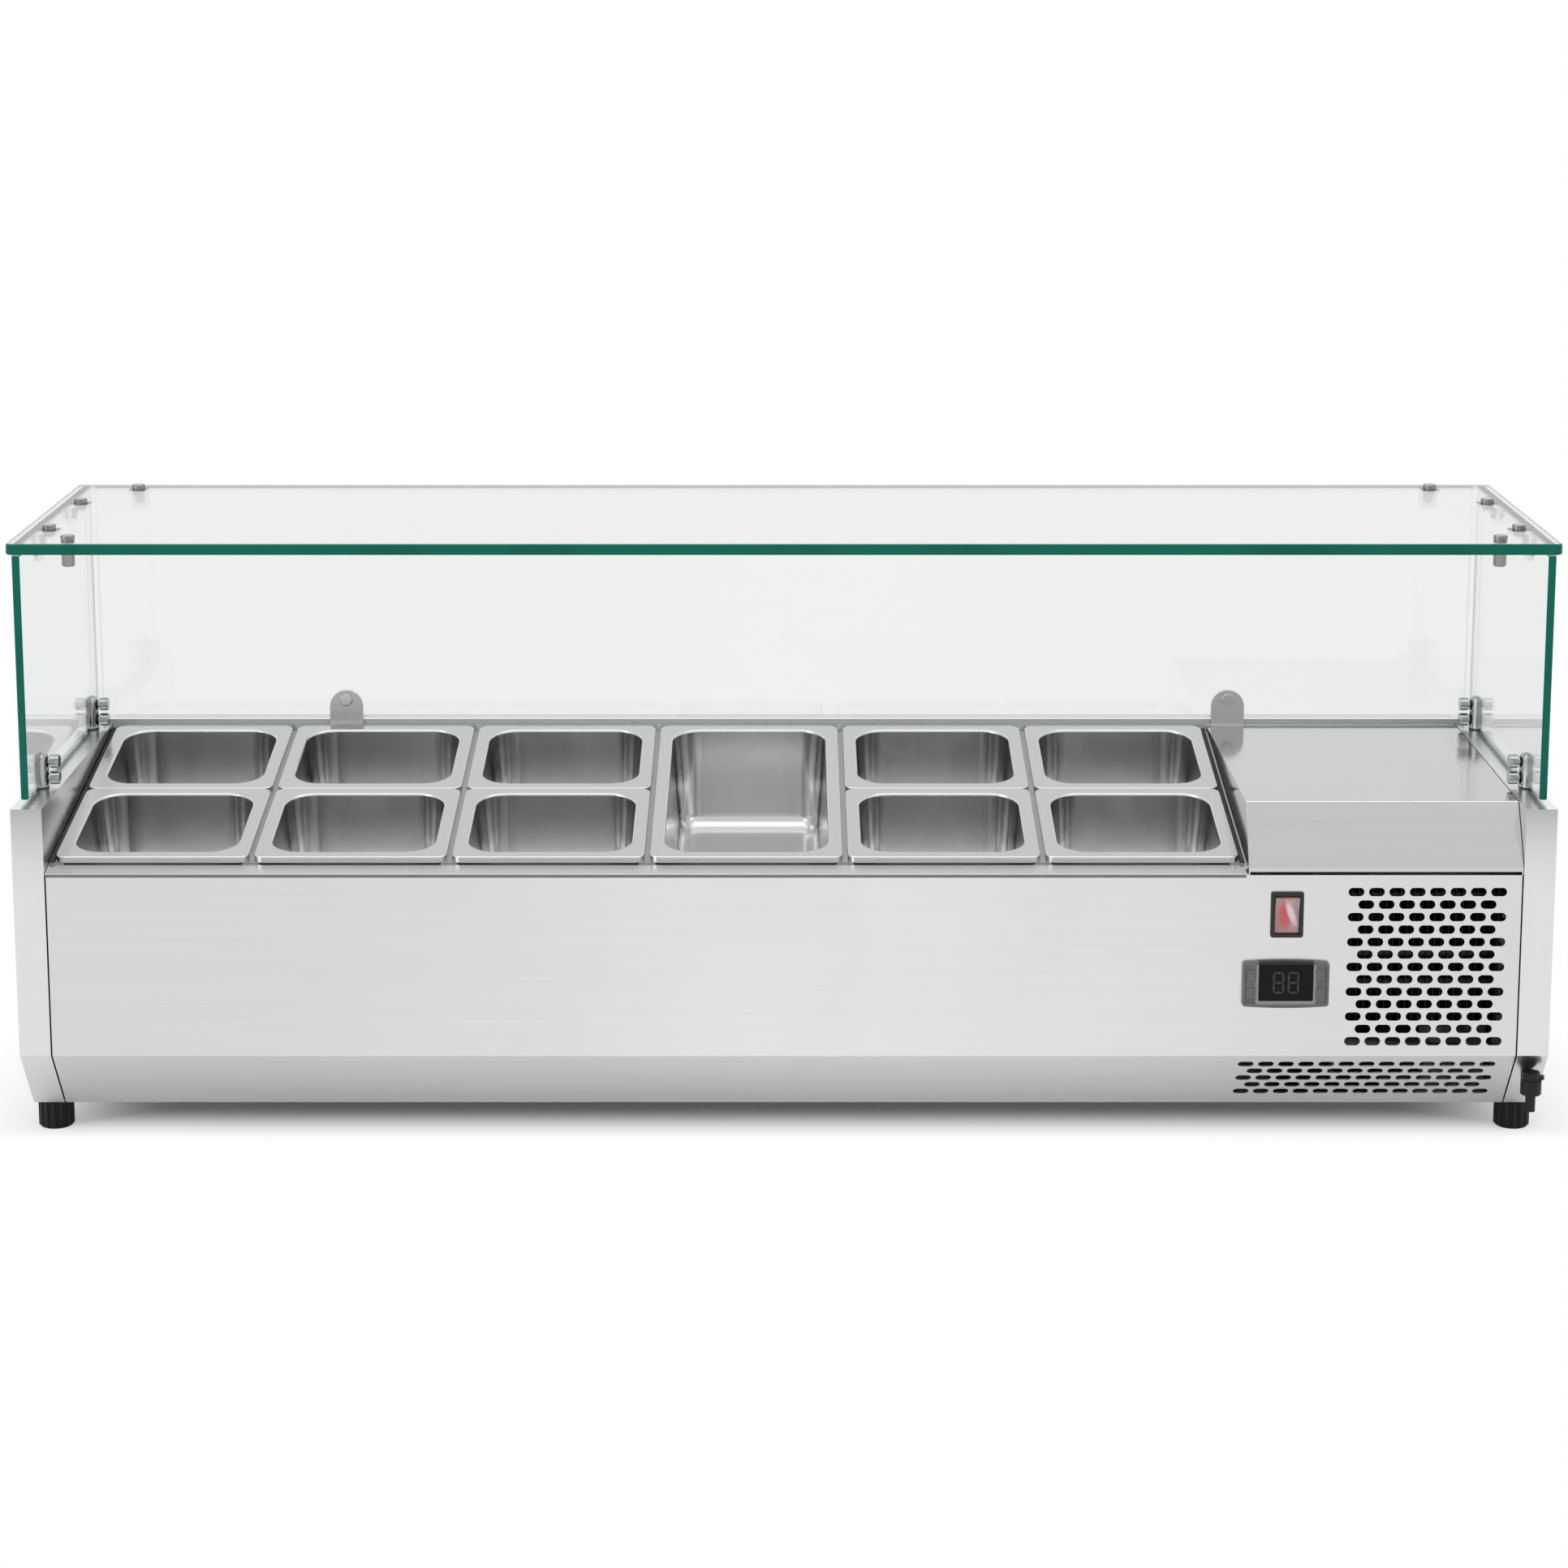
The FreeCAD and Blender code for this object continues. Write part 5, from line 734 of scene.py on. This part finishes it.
class STATION_OT_guard_glass(bpy.types.Operator):
    """Glazes the guard with panes that have ground edges"""

    bl_idname = "station.guard_glass"
    bl_label = "Guard glass"

    def execute(self, context):
        tone = colours()
        clear = clear_glass("Float glass", tone.pane)
        edge = ground_edge("Ground edge", tone)
        for name, (axis, lean) in PANES.items():
            clear.on(name)
            pane = self.pane(name, axis, lean, edge.material)
            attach(pane, "cabinet")
            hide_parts(name)
        self.seals(tone)
        for side in ("left", "right"):
            strip = self.corner(f"corner_strip_{side}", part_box(f"glass_{side}"))
            strip.data.materials.append(clear.material)
            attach(strip, "cabinet")
        return {"FINISHED"}

    def corner(self, name, side):
        """A clear strip with rounded long edges, in the upright joint of a side pane and the rear pane."""
        size = sizes()
        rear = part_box("glass_rear")
        inner = (side[1].x, rear[0].x) if side[0].x < 0.0 else (rear[1].x, side[0].x)
        low = Vector((inner[0] + size.corner_play, rear[0].y, rear[0].z))
        high = Vector((inner[1] - size.corner_play, rear[1].y, rear[1].z))
        reach = size.corner_round
        return rounded_strip(
            name,
            high - low,
            (low + high) / 2.0,
            lambda first, second: abs(first.z - second.z) > reach,
            reach,
            STRIP_STEPS,
        )

    def seals(self, tone):
        """Dark gaskets below, and clear silicone under the rear pane and round the top."""
        finish = moulded("Glass seal", tone.seal, rough=(0.35, 0.5))
        low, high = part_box("glass_seals")
        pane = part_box("glass_rear")[0]
        behind = spread(finish.tree, finish.split("Object", "Y"), pane.y - sizes().seal_play, pane.y)
        halfway = (low.z + high.z) / 2.0
        above = spread(finish.tree, finish.split("Object", "Z"), halfway, (halfway + high.z) / 2.0)
        finish.over(combine(finish.tree, "MAXIMUM", behind, above), tone.silicone).on("glass_seals")

    def pane(self, name, axis, lean, edge):
        """A pane of its own, with the edge finish on faces that lean no further towards its facing axis."""
        made = twin(frame["nodes"][name], name.replace("glass", "pane"))
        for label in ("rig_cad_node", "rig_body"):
            if label in made:
                del made[label]
        made.data.materials.append(edge)
        bpy.ops.object.mode_set(mode="EDIT")
        bpy.ops.mesh.select_all(action="SELECT")
        bpy.ops.mesh.remove_doubles(threshold=WELD)
        bpy.ops.mesh.normals_make_consistent(inside=False)
        bpy.ops.mesh.faces_shade_flat()
        bpy.ops.mesh.select_mode(type="FACE")
        mesh = bmesh.from_edit_mesh(made.data)
        for face in mesh.faces:
            face.select_set(abs(face.normal[axis]) < lean)
        bmesh.update_edit_mesh(made.data)
        made.active_material_index = len(made.material_slots) - 1
        bpy.ops.object.material_slot_assign()
        bpy.ops.mesh.select_mode(type="VERT")
        bpy.ops.object.mode_set(mode="OBJECT")
        return made


class STATION_OT_side_seals(bpy.types.Operator):
    """Lays the dark seals at both ends of the rows of pans, which also stand in for the shade in those gaps,
    and a bead as painted shade in the seam before them
    """

    bl_idname = "station.side_seals"
    bl_label = "Side seals"

    def execute(self, context):
        play = sizes().seal_play
        tone = colours()
        finish = moulded("Side seal", tone.seal, rough=(0.5, 0.7), pebble=900.0, bump=0.2)
        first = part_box("sixth_pan_1_front")[0].x
        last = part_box("sixth_pan_6_front")[1].x
        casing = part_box("left_end_panel")[1].x
        # The dark side seals are partly painted shade for the gaps at both ends of the rows of pans.
        for name, left, right in (
            ("pan_side_seal_and_shade_left", casing + play, first - play),
            ("pan_side_seal_and_shade_right", last + play, last + first - casing - play),
        ):
            seal = self.seal(name, left, right)
            seal.data.materials.append(finish.material)
            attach(seal, "cabinet")
        # Painted shade: a dark bead in the seam between the deck and the front panel.
        shade_bead = self.shade_bead("front_seam_shade_strip")
        finish = moulded("Seam bead", tone.shade_bead, rough=(0.5, 0.7), pebble=900.0, bump=0.2)
        shade_bead.data.materials.append(finish.material)
        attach(shade_bead, "cabinet")
        return {"FINISHED"}

    def shade_bead(self, name):
        """A strip with a round front, closing the seam between the deck and the front panel; its dark colour
        is painted shade.
        """
        size = sizes()
        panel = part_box("front_panel")
        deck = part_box("well_frame")
        middle = panel[0].y - size.corner_play - size.bead_depth / 2.0
        return rounded_strip(
            name,
            (deck[1].x - deck[0].x - 2.0 * size.seal_play, size.bead_depth, size.bead_height),
            ((deck[0].x + deck[1].x) / 2.0, middle, panel[1].z - size.bead_height / 2.0),
            lambda first, second: max(first.y, second.y) < middle,
            size.bead_depth * ROUND_SHARE,
            STRIP_STEPS,
        )

    def seal(self, name, left, right):
        """A strip with a round back, lying on the slope beside the pans; as a dark seal it also stands in
        for the shade in that gap.
        """
        size = sizes()
        plate_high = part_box("well_frame")[1]
        pans_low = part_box("sixth_pan_1_front")[0]
        long = (plate_high.y - pans_low.y) / math.cos(size.deck_tilt)
        made = rounded_strip(
            name,
            (right - left, long - 2.0 * size.seal_play, size.side_seal),
            (0.0, 0.0, 0.0),
            lambda first, second: min(first.z, second.z) > 0.0,
            size.side_seal * ROUND_SHARE,
            SEAL_STEPS,
        )
        middle = (plate_high.y + pans_low.y) / 2.0
        deck = plate_high.z - (plate_high.y - middle) * math.tan(size.deck_tilt)
        above = size.rest_sheet + size.side_seal / 2.0 + size.seal_play * SEAL_LIFT_SHARE
        made.rotation_euler = (size.deck_tilt, 0.0, 0.0)
        made.location = ((left + right) / 2.0, middle, deck + above / math.cos(size.deck_tilt))
        settle(made)
        return made


class STATION_OT_guard_fittings(bpy.types.Operator):
    """Plates the clamps, brackets, clips and bolts of the guard"""

    bl_idname = "station.guard_fittings"
    bl_label = "Guard fittings"

    def execute(self, context):
        tone = colours()
        plated("Clamp plating", tone.clamp, rough=(0.08, 0.2)).on("glass_clamps", "clamp_screws")
        bracket = sheet_metal("Bracket sheet", tone.bracket, rough=(0.2, 0.3), run=GRAIN_LEVEL, bump=0.02)
        bracket.on("rear_glass_brackets")
        self.bolts(tone)
        plated("Clip plating", tone.bright, rough=(0.08, 0.16)).on("glass_clips")
        return {"FINISHED"}

    def bolts(self, tone):
        """Plated bolts, paler in the rear brackets than at the top of the guard."""
        finish = plated("Bolt plating", tone.bolt, rough=(0.1, 0.22))
        low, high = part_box("rear_glass_brackets")
        above = high.z + (high.z - low.z)
        lower = spread(finish.tree, finish.split("Object", "Z"), high.z, above, 1.0, 0.0)
        finish.over(lower, tone.bracket_bolt).on("glass_bolts")


class STATION_OT_controls(bpy.types.Operator):
    """Finishes the switch and the controller"""

    bl_idname = "station.controls"
    bl_label = "Controls"

    def execute(self, context):
        tone = colours()
        switch = moulded("Switch frame", tone.moulding, rough=(0.28, 0.42), pebble=2200.0, bump=0.06)
        switch.on("switch_housing")
        self.lens(tone)
        self.controller(tone)
        moulded("Key rubber", tone.key, rough=(0.4, 0.55), pebble=1800.0, bump=0.06).on(*KEYS)
        window = moulded(
            "Smoked window", tone.window, rough=(0.2, 0.3), pebble=300.0, bump=0.02, shine=0.15
        )
        window.on("controller_window")
        return {"FINISHED"}

    def controller(self, tone):
        """A grey frame with a painted highlight as a paler edge beside and below its window, and the
        window's black just above it.
        """
        low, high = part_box("controller_window")
        middle = (low + high) / 2.0
        half = (high - low) / 2.0
        finish = moulded("Controller frame", tone.controller, rough=(0.3, 0.45), pebble=1800.0, bump=0.08)
        # Painted highlight: a paler band beside and below the window.
        rim = sizes().window_highlight_width
        middle.z -= rim / 2.0
        away = finish.outside(middle, (half.x, THROUGH, half.z - rim / 2.0))
        edge = spread(finish.tree, away, rim, rim * FRAME_HIGHLIGHT_SHARE, smooth=True)
        finish.over(edge, tone.controller_edge_highlight)
        above = finish.outside((middle.x, middle.y, high.z + rim), (half.x, THROUGH, rim))
        brow = spread(finish.tree, above, rim * FRAME_BROW_SHARE, 0.0, smooth=True)
        finish.over(brow, tone.window).on("controller_housing")

    def lens(self, tone):
        """A clear lens with a red lamp behind it and a painted highlight across it."""
        size = sizes()
        low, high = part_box("switch_rocker")
        middle = (low + high) / 2.0
        finish = Finish("Rocker lens", tone.lens)
        finish.set(transmission_weight=0.2, ior=1.49, coat_weight=0.6, coat_roughness=0.06)
        marks = finish.smudges(scale=90.0)
        finish.shade(marks, low=0.9, high=1.15)
        place = (middle.x - size.lamp_side, 0.0, middle.z)
        lamp = self.patch(finish, place, (size.lamp_wide, size.lamp_high), 0.0)
        finish.over(lamp, tone.lens_red)
        # Painted highlight: a pale leaning oval across the lens.
        place = (middle.x + size.highlight_side, 0.0, middle.z + size.highlight_rise)
        highlight = self.patch(finish, place, (size.highlight_wide, size.highlight_high), HIGHLIGHT_LEAN)
        finish.over(highlight, tone.lens_highlight)
        finish.rough((marks, 0.08, 0.2)).on("switch_rocker")

    def patch(self, finish, middle, reach, lean):
        """A soft oval on the front, leaning sideways."""
        turn = node(finish.tree, "Mapping", vector_type="TEXTURE")
        turn.inputs["Rotation"].default_value = (0.0, lean, 0.0)
        turn.inputs["Scale"].default_value = (reach[0], 1.0, reach[1])
        shifted = finish.reckon("SUBTRACT", finish.place.outputs["Object"], middle)["Vector"]
        finish.join(shifted, turn.inputs["Vector"])
        flat = finish.reckon("MULTIPLY", turn.outputs["Vector"], (1.0, 0.0, 1.0))["Vector"]
        oval = node(finish.tree, "TexGradient", gradient_type="SPHERICAL")
        finish.join(flat, oval.inputs["Vector"])
        return spread(finish.tree, oval.outputs["Fac"], 0.0, PATCH_FULL, smooth=True)


class STATION_OT_numerals(bpy.types.Operator):
    """Lays the unlit seven-bar numerals on the controller window"""

    bl_idname = "station.numerals"
    bl_label = "Numerals"

    def execute(self, context):
        size = sizes()
        low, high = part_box("controller_window")
        middle = (low + high) / 2.0
        upright = self.bar(size.digit_height / 2.0 - size.bar_space)
        flat = self.bar(size.digit_width - size.bar_space)
        half_wide = size.digit_width / 2.0
        half_high = size.digit_height / 2.0
        bars = []
        for shift in (-size.digit_pitch / 2.0, size.digit_pitch / 2.0):
            x = middle.x + shift
            for rise in (-half_high, 0.0, half_high):
                bars.append(copy_of(flat, "bar", (x, low.y, middle.z + rise)))
            for side in (-half_wide, half_wide):
                for rise in (-half_high / 2.0, half_high / 2.0):
                    place = (x + side, low.y, middle.z + rise)
                    bars.append(copy_of(upright, "bar", place, math.pi / 2.0))
        bpy.data.objects.remove(upright)
        bpy.data.objects.remove(flat)
        numerals = merge(bars, "numerals")
        finish = moulded("Unlit numeral", colours().numeral, rough=(0.25, 0.4), pebble=900.0, bump=0.05)
        numerals.data.materials.append(finish.material)
        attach(numerals, "cabinet")
        return {"FINISHED"}

    def bar(self, long):
        """One bar with pointed ends, lying along X and standing out towards the front."""
        size = sizes()
        half = size.bar_width / 2.0
        facing_front = (math.pi / 2.0, 0.0, 0.0)
        deselect()
        bpy.ops.mesh.primitive_circle_add(
            vertices=6, radius=half, fill_type="NGON", rotation=facing_front
        )
        made = bpy.context.object
        settle(made)
        bpy.ops.object.mode_set(mode="EDIT")
        stretch = long / 2.0 - half
        for sign in (-1.0, 1.0):
            pick(made, lambda corner: corner.x * sign > half * BAR_SIDE_SHARE)
            bpy.ops.transform.translate(value=(sign * stretch, 0.0, 0.0))
        bpy.ops.mesh.select_all(action="SELECT")
        bpy.ops.mesh.extrude_region_move(TRANSFORM_OT_translate={"value": (0.0, -size.film, 0.0)})
        face_outwards()
        return made


class STATION_OT_feet(bpy.types.Operator):
    """Threads the foot studs and puts the pads in rubber"""

    bl_idname = "station.feet"
    bl_label = "Feet"

    def execute(self, context):
        tone = colours()
        rubber = moulded("Foot rubber", tone.rubber, rough=(0.42, 0.6), pebble=900.0, bump=0.2, shine=0.35)
        zinc = plated("Stud zinc", tone.zinc, rough=(0.2, 0.36), scale=150.0)
        for foot in FEET:
            rubber.on(f"foot_pad_{foot}")
            name = f"foot_stud_{foot}"
            zinc.on(name)
            low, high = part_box(name)
            stud = self.stud(f"threaded_{name}", (high.x - low.x) / 2.0, high.z - low.z)
            stud.location = ((low.x + high.x) / 2.0, (low.y + high.y) / 2.0, low.z)
            settle(stud)
            stud.data.materials.append(zinc.material)
            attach(stud, f"foot_{foot}")
            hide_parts(name)
        return {"FINISHED"}

    def stud(self, name, radius, high):
        """A threaded rod standing on the origin."""
        made = self.tooth(name, radius)
        self.wind(made, high)
        bpy.ops.object.mode_set(mode="EDIT")
        bpy.ops.mesh.select_all(action="SELECT")
        bpy.ops.mesh.remove_doubles(threshold=WELD)
        for level, keep_above in ((0.0, True), (high, False)):
            bpy.ops.mesh.select_all(action="SELECT")
            bpy.ops.mesh.bisect(
                plane_co=(0.0, 0.0, level),
                plane_no=(0.0, 0.0, 1.0),
                use_fill=True,
                clear_inner=keep_above,
                clear_outer=not keep_above,
            )
        face_outwards()
        return made

    def tooth(self, name, radius):
        """The two flanks of one tooth of the thread, just below the origin."""
        pitch = sizes().thread_pitch
        root = radius - sizes().thread_depth
        deselect()
        bpy.ops.mesh.primitive_circle_add(vertices=3, radius=radius, fill_type="NOTHING")
        made = bpy.context.object
        made.name = name
        bpy.ops.object.mode_set(mode="EDIT")
        mesh = bmesh.from_edit_mesh(made.data)
        mesh.verts.ensure_lookup_table()
        places = ((root, 0.0, -pitch), (radius, 0.0, -pitch / 2.0), (root, 0.0, 0.0))
        for corner, place in zip(mesh.verts, places):
            corner.co = place
        shank = []
        for edge in mesh.edges:
            if all(abs(corner.co.x - root) < WELD for corner in edge.verts):
                shank.append(edge)
        bmesh.ops.delete(mesh, geom=shank, context="EDGES_FACES")
        bmesh.update_edit_mesh(made.data)
        bpy.ops.object.mode_set(mode="OBJECT")
        return made

    def wind(self, tooth, high):
        """Winds a tooth upwards into a thread that is a little longer than the rod."""
        size = sizes()
        turn = tooth.modifiers.new("Thread", "SCREW")
        turn.axis = "Z"
        turn.screw_offset = size.thread_pitch
        turn.iterations = int(high / size.thread_pitch) + SPARE_TURNS
        turn.steps = size.thread_steps
        turn.render_steps = size.thread_steps
        turn.use_merge_vertices = True
        turn.merge_threshold = WELD
        bpy.ops.object.modifier_apply(modifier=turn.name)


class STATION_OT_drain(bpy.types.Operator):
    """Finishes the drain tap, its hose and the cable gland"""

    bl_idname = "station.drain"
    bl_label = "Drain and gland"

    def execute(self, context):
        tone = colours()
        tap = moulded("Tap moulding", tone.moulding, rough=(0.3, 0.45), pebble=1200.0, bump=0.1, shine=0.3)
        tap.on("drain_tap_body", "drain_tap_handle")
        moulded("Gland moulding", tone.moulding, rough=(0.38, 0.52), bump=0.12).on("cable_gland")
        moulded("Drain hose", tone.hose, rough=(0.35, 0.5), pebble=400.0, bump=0.1).on("drain_pipe")
        return {"FINISHED"}


class STATION_OT_machine(bpy.types.Operator):
    """Finishes what stands in the machine bay and between the skins"""

    bl_idname = "station.machine"
    bl_label = "Machine bay"

    def execute(self, context):
        tone = colours()
        paint = moulded("Machine paint", tone.paint, rough=(0.25, 0.4), pebble=500.0, bump=0.12)
        paint.on("compressor", "fan_motor")
        mount = moulded("Mount rubber", tone.rubber, rough=(0.5, 0.7), pebble=700.0, bump=0.2)
        mount.on("compressor_mounts")
        sheet_metal("Condenser fin", tone.fin, rough=(0.3, 0.45), run=GRAIN_FINS, bump=0.1).on("condenser")
        moulded("Fan moulding", tone.blade, rough=(0.35, 0.5), pebble=1200.0, bump=0.1).on("fan_blades")
        copper = Finish("Drawn copper", tone.copper).set(metallic=1.0)
        dull = copper.smudges(scale=35.0)
        copper.blend(dull, tone.copper, tone.tarnish)
        copper.rough((dull, 0.18, 0.5)).on("evaporator_tube", "refrigerant_pipes", "filter_drier")
        moulded("Poured foam", tone.foam, rough=(0.75, 0.9), pebble=320.0, bump=0.6).on("insulation")
        return {"FINISHED"}


class STATION_OT_studio(bpy.types.Operator):
    """Lays the floor, hangs the lamps and sets the camera"""

    bl_idname = "station.studio"
    bl_label = "Studio"

    def execute(self, context):
        self.floor()
        self.sky(context)
        setting = studio()
        self.lamp("Top lamp", TOP_LAMP_PLACE, TOP_LAMP_SIZE, setting.top_power)
        self.lamp("Side lamp", SIDE_LAMP_PLACE, SIDE_LAMP_SIZE, setting.side_power)
        self.camera(context)
        context.scene.view_settings.view_transform = "Standard"
        return {"FINISHED"}

    def floor(self):
        """A pale floor that keeps the shadow and fades into the backdrop."""
        setting = studio()
        deselect()
        bpy.ops.mesh.primitive_plane_add(size=setting.floor_size)
        floor = bpy.context.object
        floor.name = "studio_floor"
        finish = Finish("Studio floor", (setting.floor_tone,) * 3).set(roughness=0.7)
        tree = finish.tree
        rays = node(tree, "LightPath").outputs
        looked = combine(tree, "MAXIMUM", rays["Is Camera Ray"], rays["Is Transmission Ray"])
        bare = self.bare(finish, looked, rays["Is Glossy Ray"])
        glow = self.glow(finish, looked)
        show_mix(tree, "Material Output", bare, finish.shader.outputs["BSDF"], glow)
        floor.data.materials.append(finish.material)

    def bare(self, finish, looked, mirrored):
        """How far the floor is clear of the shadow, where it is looked at and where metal mirrors it."""
        setting = studio()
        tree = finish.tree
        low, high = CAD_BOX
        middle = (low + high) / 2.0
        half = (high - low) / 2.0
        inset = setting.shadow_inset
        start = low.y + inset
        ahead = spread(tree, finish.split("Object", "Y"), start, start - setting.shadow_reach, smooth=True)
        away = finish.outside(middle, half - Vector((inset, inset, 0.0)))
        around = spread(tree, away, 0.0, setting.shadow_spill, smooth=True)
        seen = combine(tree, "MULTIPLY", combine(tree, "MAXIMUM", ahead, around), looked)
        beside = finish.outside(middle, half - Vector((0.0, inset, 0.0)))
        clear = spread(tree, beside, 0.0, setting.mirror_reach, smooth=True)
        return combine(tree, "MAXIMUM", seen, combine(tree, "MULTIPLY", clear, mirrored))

    def glow(self, finish, looked):
        """White to the eye, and in metal brighter before the casing than beside it."""
        setting = studio()
        tree = finish.tree
        made = node(tree, "Emission")
        made.inputs["Color"].default_value = WHITE
        endless = (0.0, setting.floor_size, setting.floor_size)
        across = finish.outside((setting.glow_side, 0.0, 0.0), endless)
        bright = spread(
            tree, across, 0.0, setting.glow_reach, setting.glow_peak, setting.glow_edge, smooth=True
        )
        even = combine(tree, "MULTIPLY", combine(tree, "SUBTRACT", 1.0, bright), looked)
        finish.join(combine(tree, "ADD", bright, even), made.inputs["Strength"])
        return made.outputs["Emission"]

    def sky(self, context):
        """Even light from all round, and a white backdrop for what is seen, mirrored or looked through."""
        setting = studio()
        world = bpy.data.worlds.new("Studio")
        world.use_nodes = True
        context.scene.world = world
        tree = world.node_tree
        light = tree.nodes["Background"]
        light.inputs["Color"].default_value = WHITE
        light.inputs["Strength"].default_value = setting.sky
        toward = node(tree, "TexCoord")
        split = node(tree, "SeparateXYZ")
        tree.links.new(toward.outputs["Generated"], split.inputs["Vector"])
        back = spread(tree, split.outputs["Y"], SKY_FRONT, SKY_BACK, setting.front_tone, 1.0, smooth=True)
        rays = node(tree, "LightPath").outputs
        backdrop = node(tree, "Background")
        backdrop.inputs["Color"].default_value = WHITE
        bright = combine(tree, "MAXIMUM", back, rays["Is Camera Ray"])
        tree.links.new(bright, backdrop.inputs["Strength"])
        mirrored = combine(tree, "MAXIMUM", rays["Is Glossy Ray"], rays["Is Transmission Ray"])
        seen = combine(tree, "MAXIMUM", rays["Is Camera Ray"], mirrored)
        show_mix(tree, "World Output", seen, light.outputs["Background"], backdrop.outputs["Background"])

    def lamp(self, name, place, size, strength):
        """A soft rectangular lamp aimed at the station."""
        deselect()
        bpy.ops.object.light_add(type="AREA", location=place)
        lamp = bpy.context.object
        lamp.name = name
        lamp.data.shape = "RECTANGLE"
        lamp.data.size = size[0]
        lamp.data.size_y = size[1]
        lamp.data.energy = strength
        aim = Vector(LAMP_TARGET) - Vector(place)
        lamp.rotation_euler = aim.to_track_quat("-Z", "Y").to_euler()

    def camera(self, context):
        """The camera at the product picture's viewing angle."""
        setting = studio()
        deselect()
        place = (0.0, -setting.stand_off, setting.eye_height)
        bpy.ops.object.camera_add(location=place, rotation=(math.pi / 2.0 - setting.tilt, 0.0, 0.0))
        camera = bpy.context.object
        camera.data.lens = setting.lens
        camera.data.shift_y = setting.rise
        context.scene.camera = camera


class STATION_PT_panel(bpy.types.Panel):
    """Sizes, colours and steps of the condiment station"""

    bl_idname = "STATION_PT_panel"
    bl_label = "Condiment station"
    bl_space_type = "VIEW_3D"
    bl_region_type = "UI"
    bl_category = "Station"

    def draw(self, context):
        """Lists the settings, and then the steps."""
        scene = context.scene
        for group in (scene.station_sizes, scene.station_colours, scene.station_studio):
            box = self.layout.box()
            for name in group.__annotations__:
                box.prop(group, name)
        for step in STEPS:
            self.layout.operator(step.bl_idname)


STEPS = (
    STATION_OT_sheet_steel,
    STATION_OT_guard_glass,
    STATION_OT_side_seals,
    STATION_OT_guard_fittings,
    STATION_OT_controls,
    STATION_OT_numerals,
    STATION_OT_feet,
    STATION_OT_drain,
    STATION_OT_machine,
    STATION_OT_studio,
)
CLASSES = (StationSizes, StationColours, StationStudio, *STEPS, STATION_PT_panel)


def register():
    """Makes the classes and the scene's settings known."""
    for kind in CLASSES:
        bpy.utils.register_class(kind)
    bpy.types.Scene.station_sizes = PointerProperty(type=StationSizes)
    bpy.types.Scene.station_colours = PointerProperty(type=StationColours)
    bpy.types.Scene.station_studio = PointerProperty(type=StationStudio)


def unregister():
    """Takes the settings and the classes away again."""
    del bpy.types.Scene.station_studio
    del bpy.types.Scene.station_colours
    del bpy.types.Scene.station_sizes
    for kind in reversed(CLASSES):
        bpy.utils.unregister_class(kind)


def main():
    """Dresses the station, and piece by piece."""
    register()
    build_grain()
    build_smudges()
    build_pebble()
    bpy.ops.station.sheet_steel()
    bpy.ops.station.guard_glass()
    bpy.ops.station.side_seals()
    bpy.ops.station.guard_fittings()
    bpy.ops.station.controls()
    bpy.ops.station.numerals()
    bpy.ops.station.feet()
    bpy.ops.station.drain()
    bpy.ops.station.machine()
    bpy.ops.station.studio()


if __name__ == "__main__":
    main()
